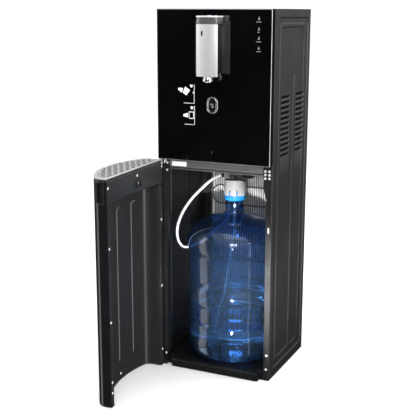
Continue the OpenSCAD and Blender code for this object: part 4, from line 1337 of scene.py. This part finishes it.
def add_wires():
    """Round wires in front of the serpentine tube, with cross wires, and the ribbed sheet behind it."""
    wire_r, pitch, half, y = 0.75 * MM, 6 * MM, 132 * MM, 123.35 * MM
    z_low, z_top = 66 * MM, 642 * MM
    parts = [tube_geometry([(i * pitch, y, z_low), (i * pitch, y, z_top)], wire_r, 6)
             for i in range(-22, 23)]
    parts += [tube_geometry([(-half, y, z * MM), (half, y, z * MM)], wire_r, 6)
              for z in (67, 353, 641)]
    make_object("condenser_round_wires", *merged(parts), MAT["wire"], CABINET,
                slot="wire_steel", replaces=["condenser_wires"], sharp_deg=80)
    rib_pitch, rib_rise = 6, 0.5
    section = [(x, 132.8 + rib_rise * math.cos(2 * math.pi * x / rib_pitch)) for x in range(-132, 133)]
    section += [(x, y - 0.25) for x, y in reversed(section)]
    rings = [[(x * MM, y * MM, z * MM) for x, y in section] for z in (38, 642)]
    # Its stripes are painted light and shade.
    make_object("condenser_rib_sheet", *loft(rings), MAT["rib_sheet"], CABINET, sharp_deg=60)


add_wires()


# Label plate and the nodes that are shown as they come --------------------

def add_label():
    outline = rounded_rect(-134 * MM, -88 * MM, 598.5 * MM, 611.5 * MM, 1 * MM, 3)
    rings = [[(x, y, z) for x, z in outline] for y in (-147.5 * MM, -147.8 * MM)]
    make_object("blank_label", *loft(rings), MAT["print"], CABINET)


add_label()

CAD_LOOKS = {
    "side": ["top_panel"],
    "black_sheet": ["base_pan", "front_post_left", "front_post_right", "gusset_plates", "back_posts",
                    "upper_back_cover"],
    "tray_plastic": ["bottle_tray", "drip_tray"],
    "deck": ["mid_deck"],
    "crossbar": ["crossbar"],
    "frame_black": ["fascia_frame"],
    "black_plastic": ["door_bottom_rim", "door_handle_cup", "hinge_knuckles",
                      "door_latch", "catch_bracket", "probe_hook"],
    "bright": ["nozzle_ring"],
    "cap_white": ["spout_cap"],
    "gloss_black": ["sensor_window", "dispense_button"],
    "silicone": ["nozzle_insert"],
    "bezel": ["button_bezel"],
    "red": ["key_hot", "rocker_heating"],
    "grey": ["key_ambient"],
    "blue_key": ["key_cold"],
    "zinc": ["hinge_bracket_bottom", "hinge_bracket_top"],
    "white": ["latch_striker"],
    "clear_cage": ["strainer"],
    "fitting": ["hose_fitting"],
    "black_tube": ["condenser_tube", "compressor"],
    "foam": ["cold_tank"],
    "tank": ["hot_tank"],
    "pump": ["pump"],
    "circuit": ["control_board"],
    "green": ["rocker_cooling"],
    "rubber": ["cord_gland"],
}
CAD_SHARP_DEG = 32
SOFT_EDGE_MM = {
    "top_panel": 0.8, "base_pan": 0.5, "front_post_left": 0.4, "front_post_right": 0.4,
    "gusset_plates": 0.3, "bottle_tray": 1.5, "crossbar": 0.5, "fascia_frame": 1.0,
    "spout_cap": 1.0, "button_bezel": 1.2, "dispense_button": 0.8,
    "door_bottom_rim": 0.4, "hinge_knuckles": 0.8, "catch_bracket": 0.5, "door_latch": 0.4,
    "probe_hook": 1.0, "hose_fitting": 0.6, "drip_tray": 0.5, "upper_back_cover": 0.3,
}


def dress_cad():
    for look, nodes in CAD_LOOKS.items():
        for node in nodes:
            obj = frame["nodes"][node]
            obj.data.materials.clear()
            obj.data.materials.append(MAT[look])
            obj.data.shade_smooth()
            obj.data.set_sharp_from_angle(angle=math.radians(CAD_SHARP_DEG))
            if node in SOFT_EDGE_MM:
                bevel(obj, SOFT_EDGE_MM[node] * MM, weld=True)


dress_cad()


def hide_from_mirror():
    """Keeps the open door and the pale grille out of the black glass."""
    for obj in SCENE.objects:
        if obj.name.startswith(("grille_", "door_liner", "door_outer_skin")):
            obj.visible_glossy = False


hide_from_mirror()
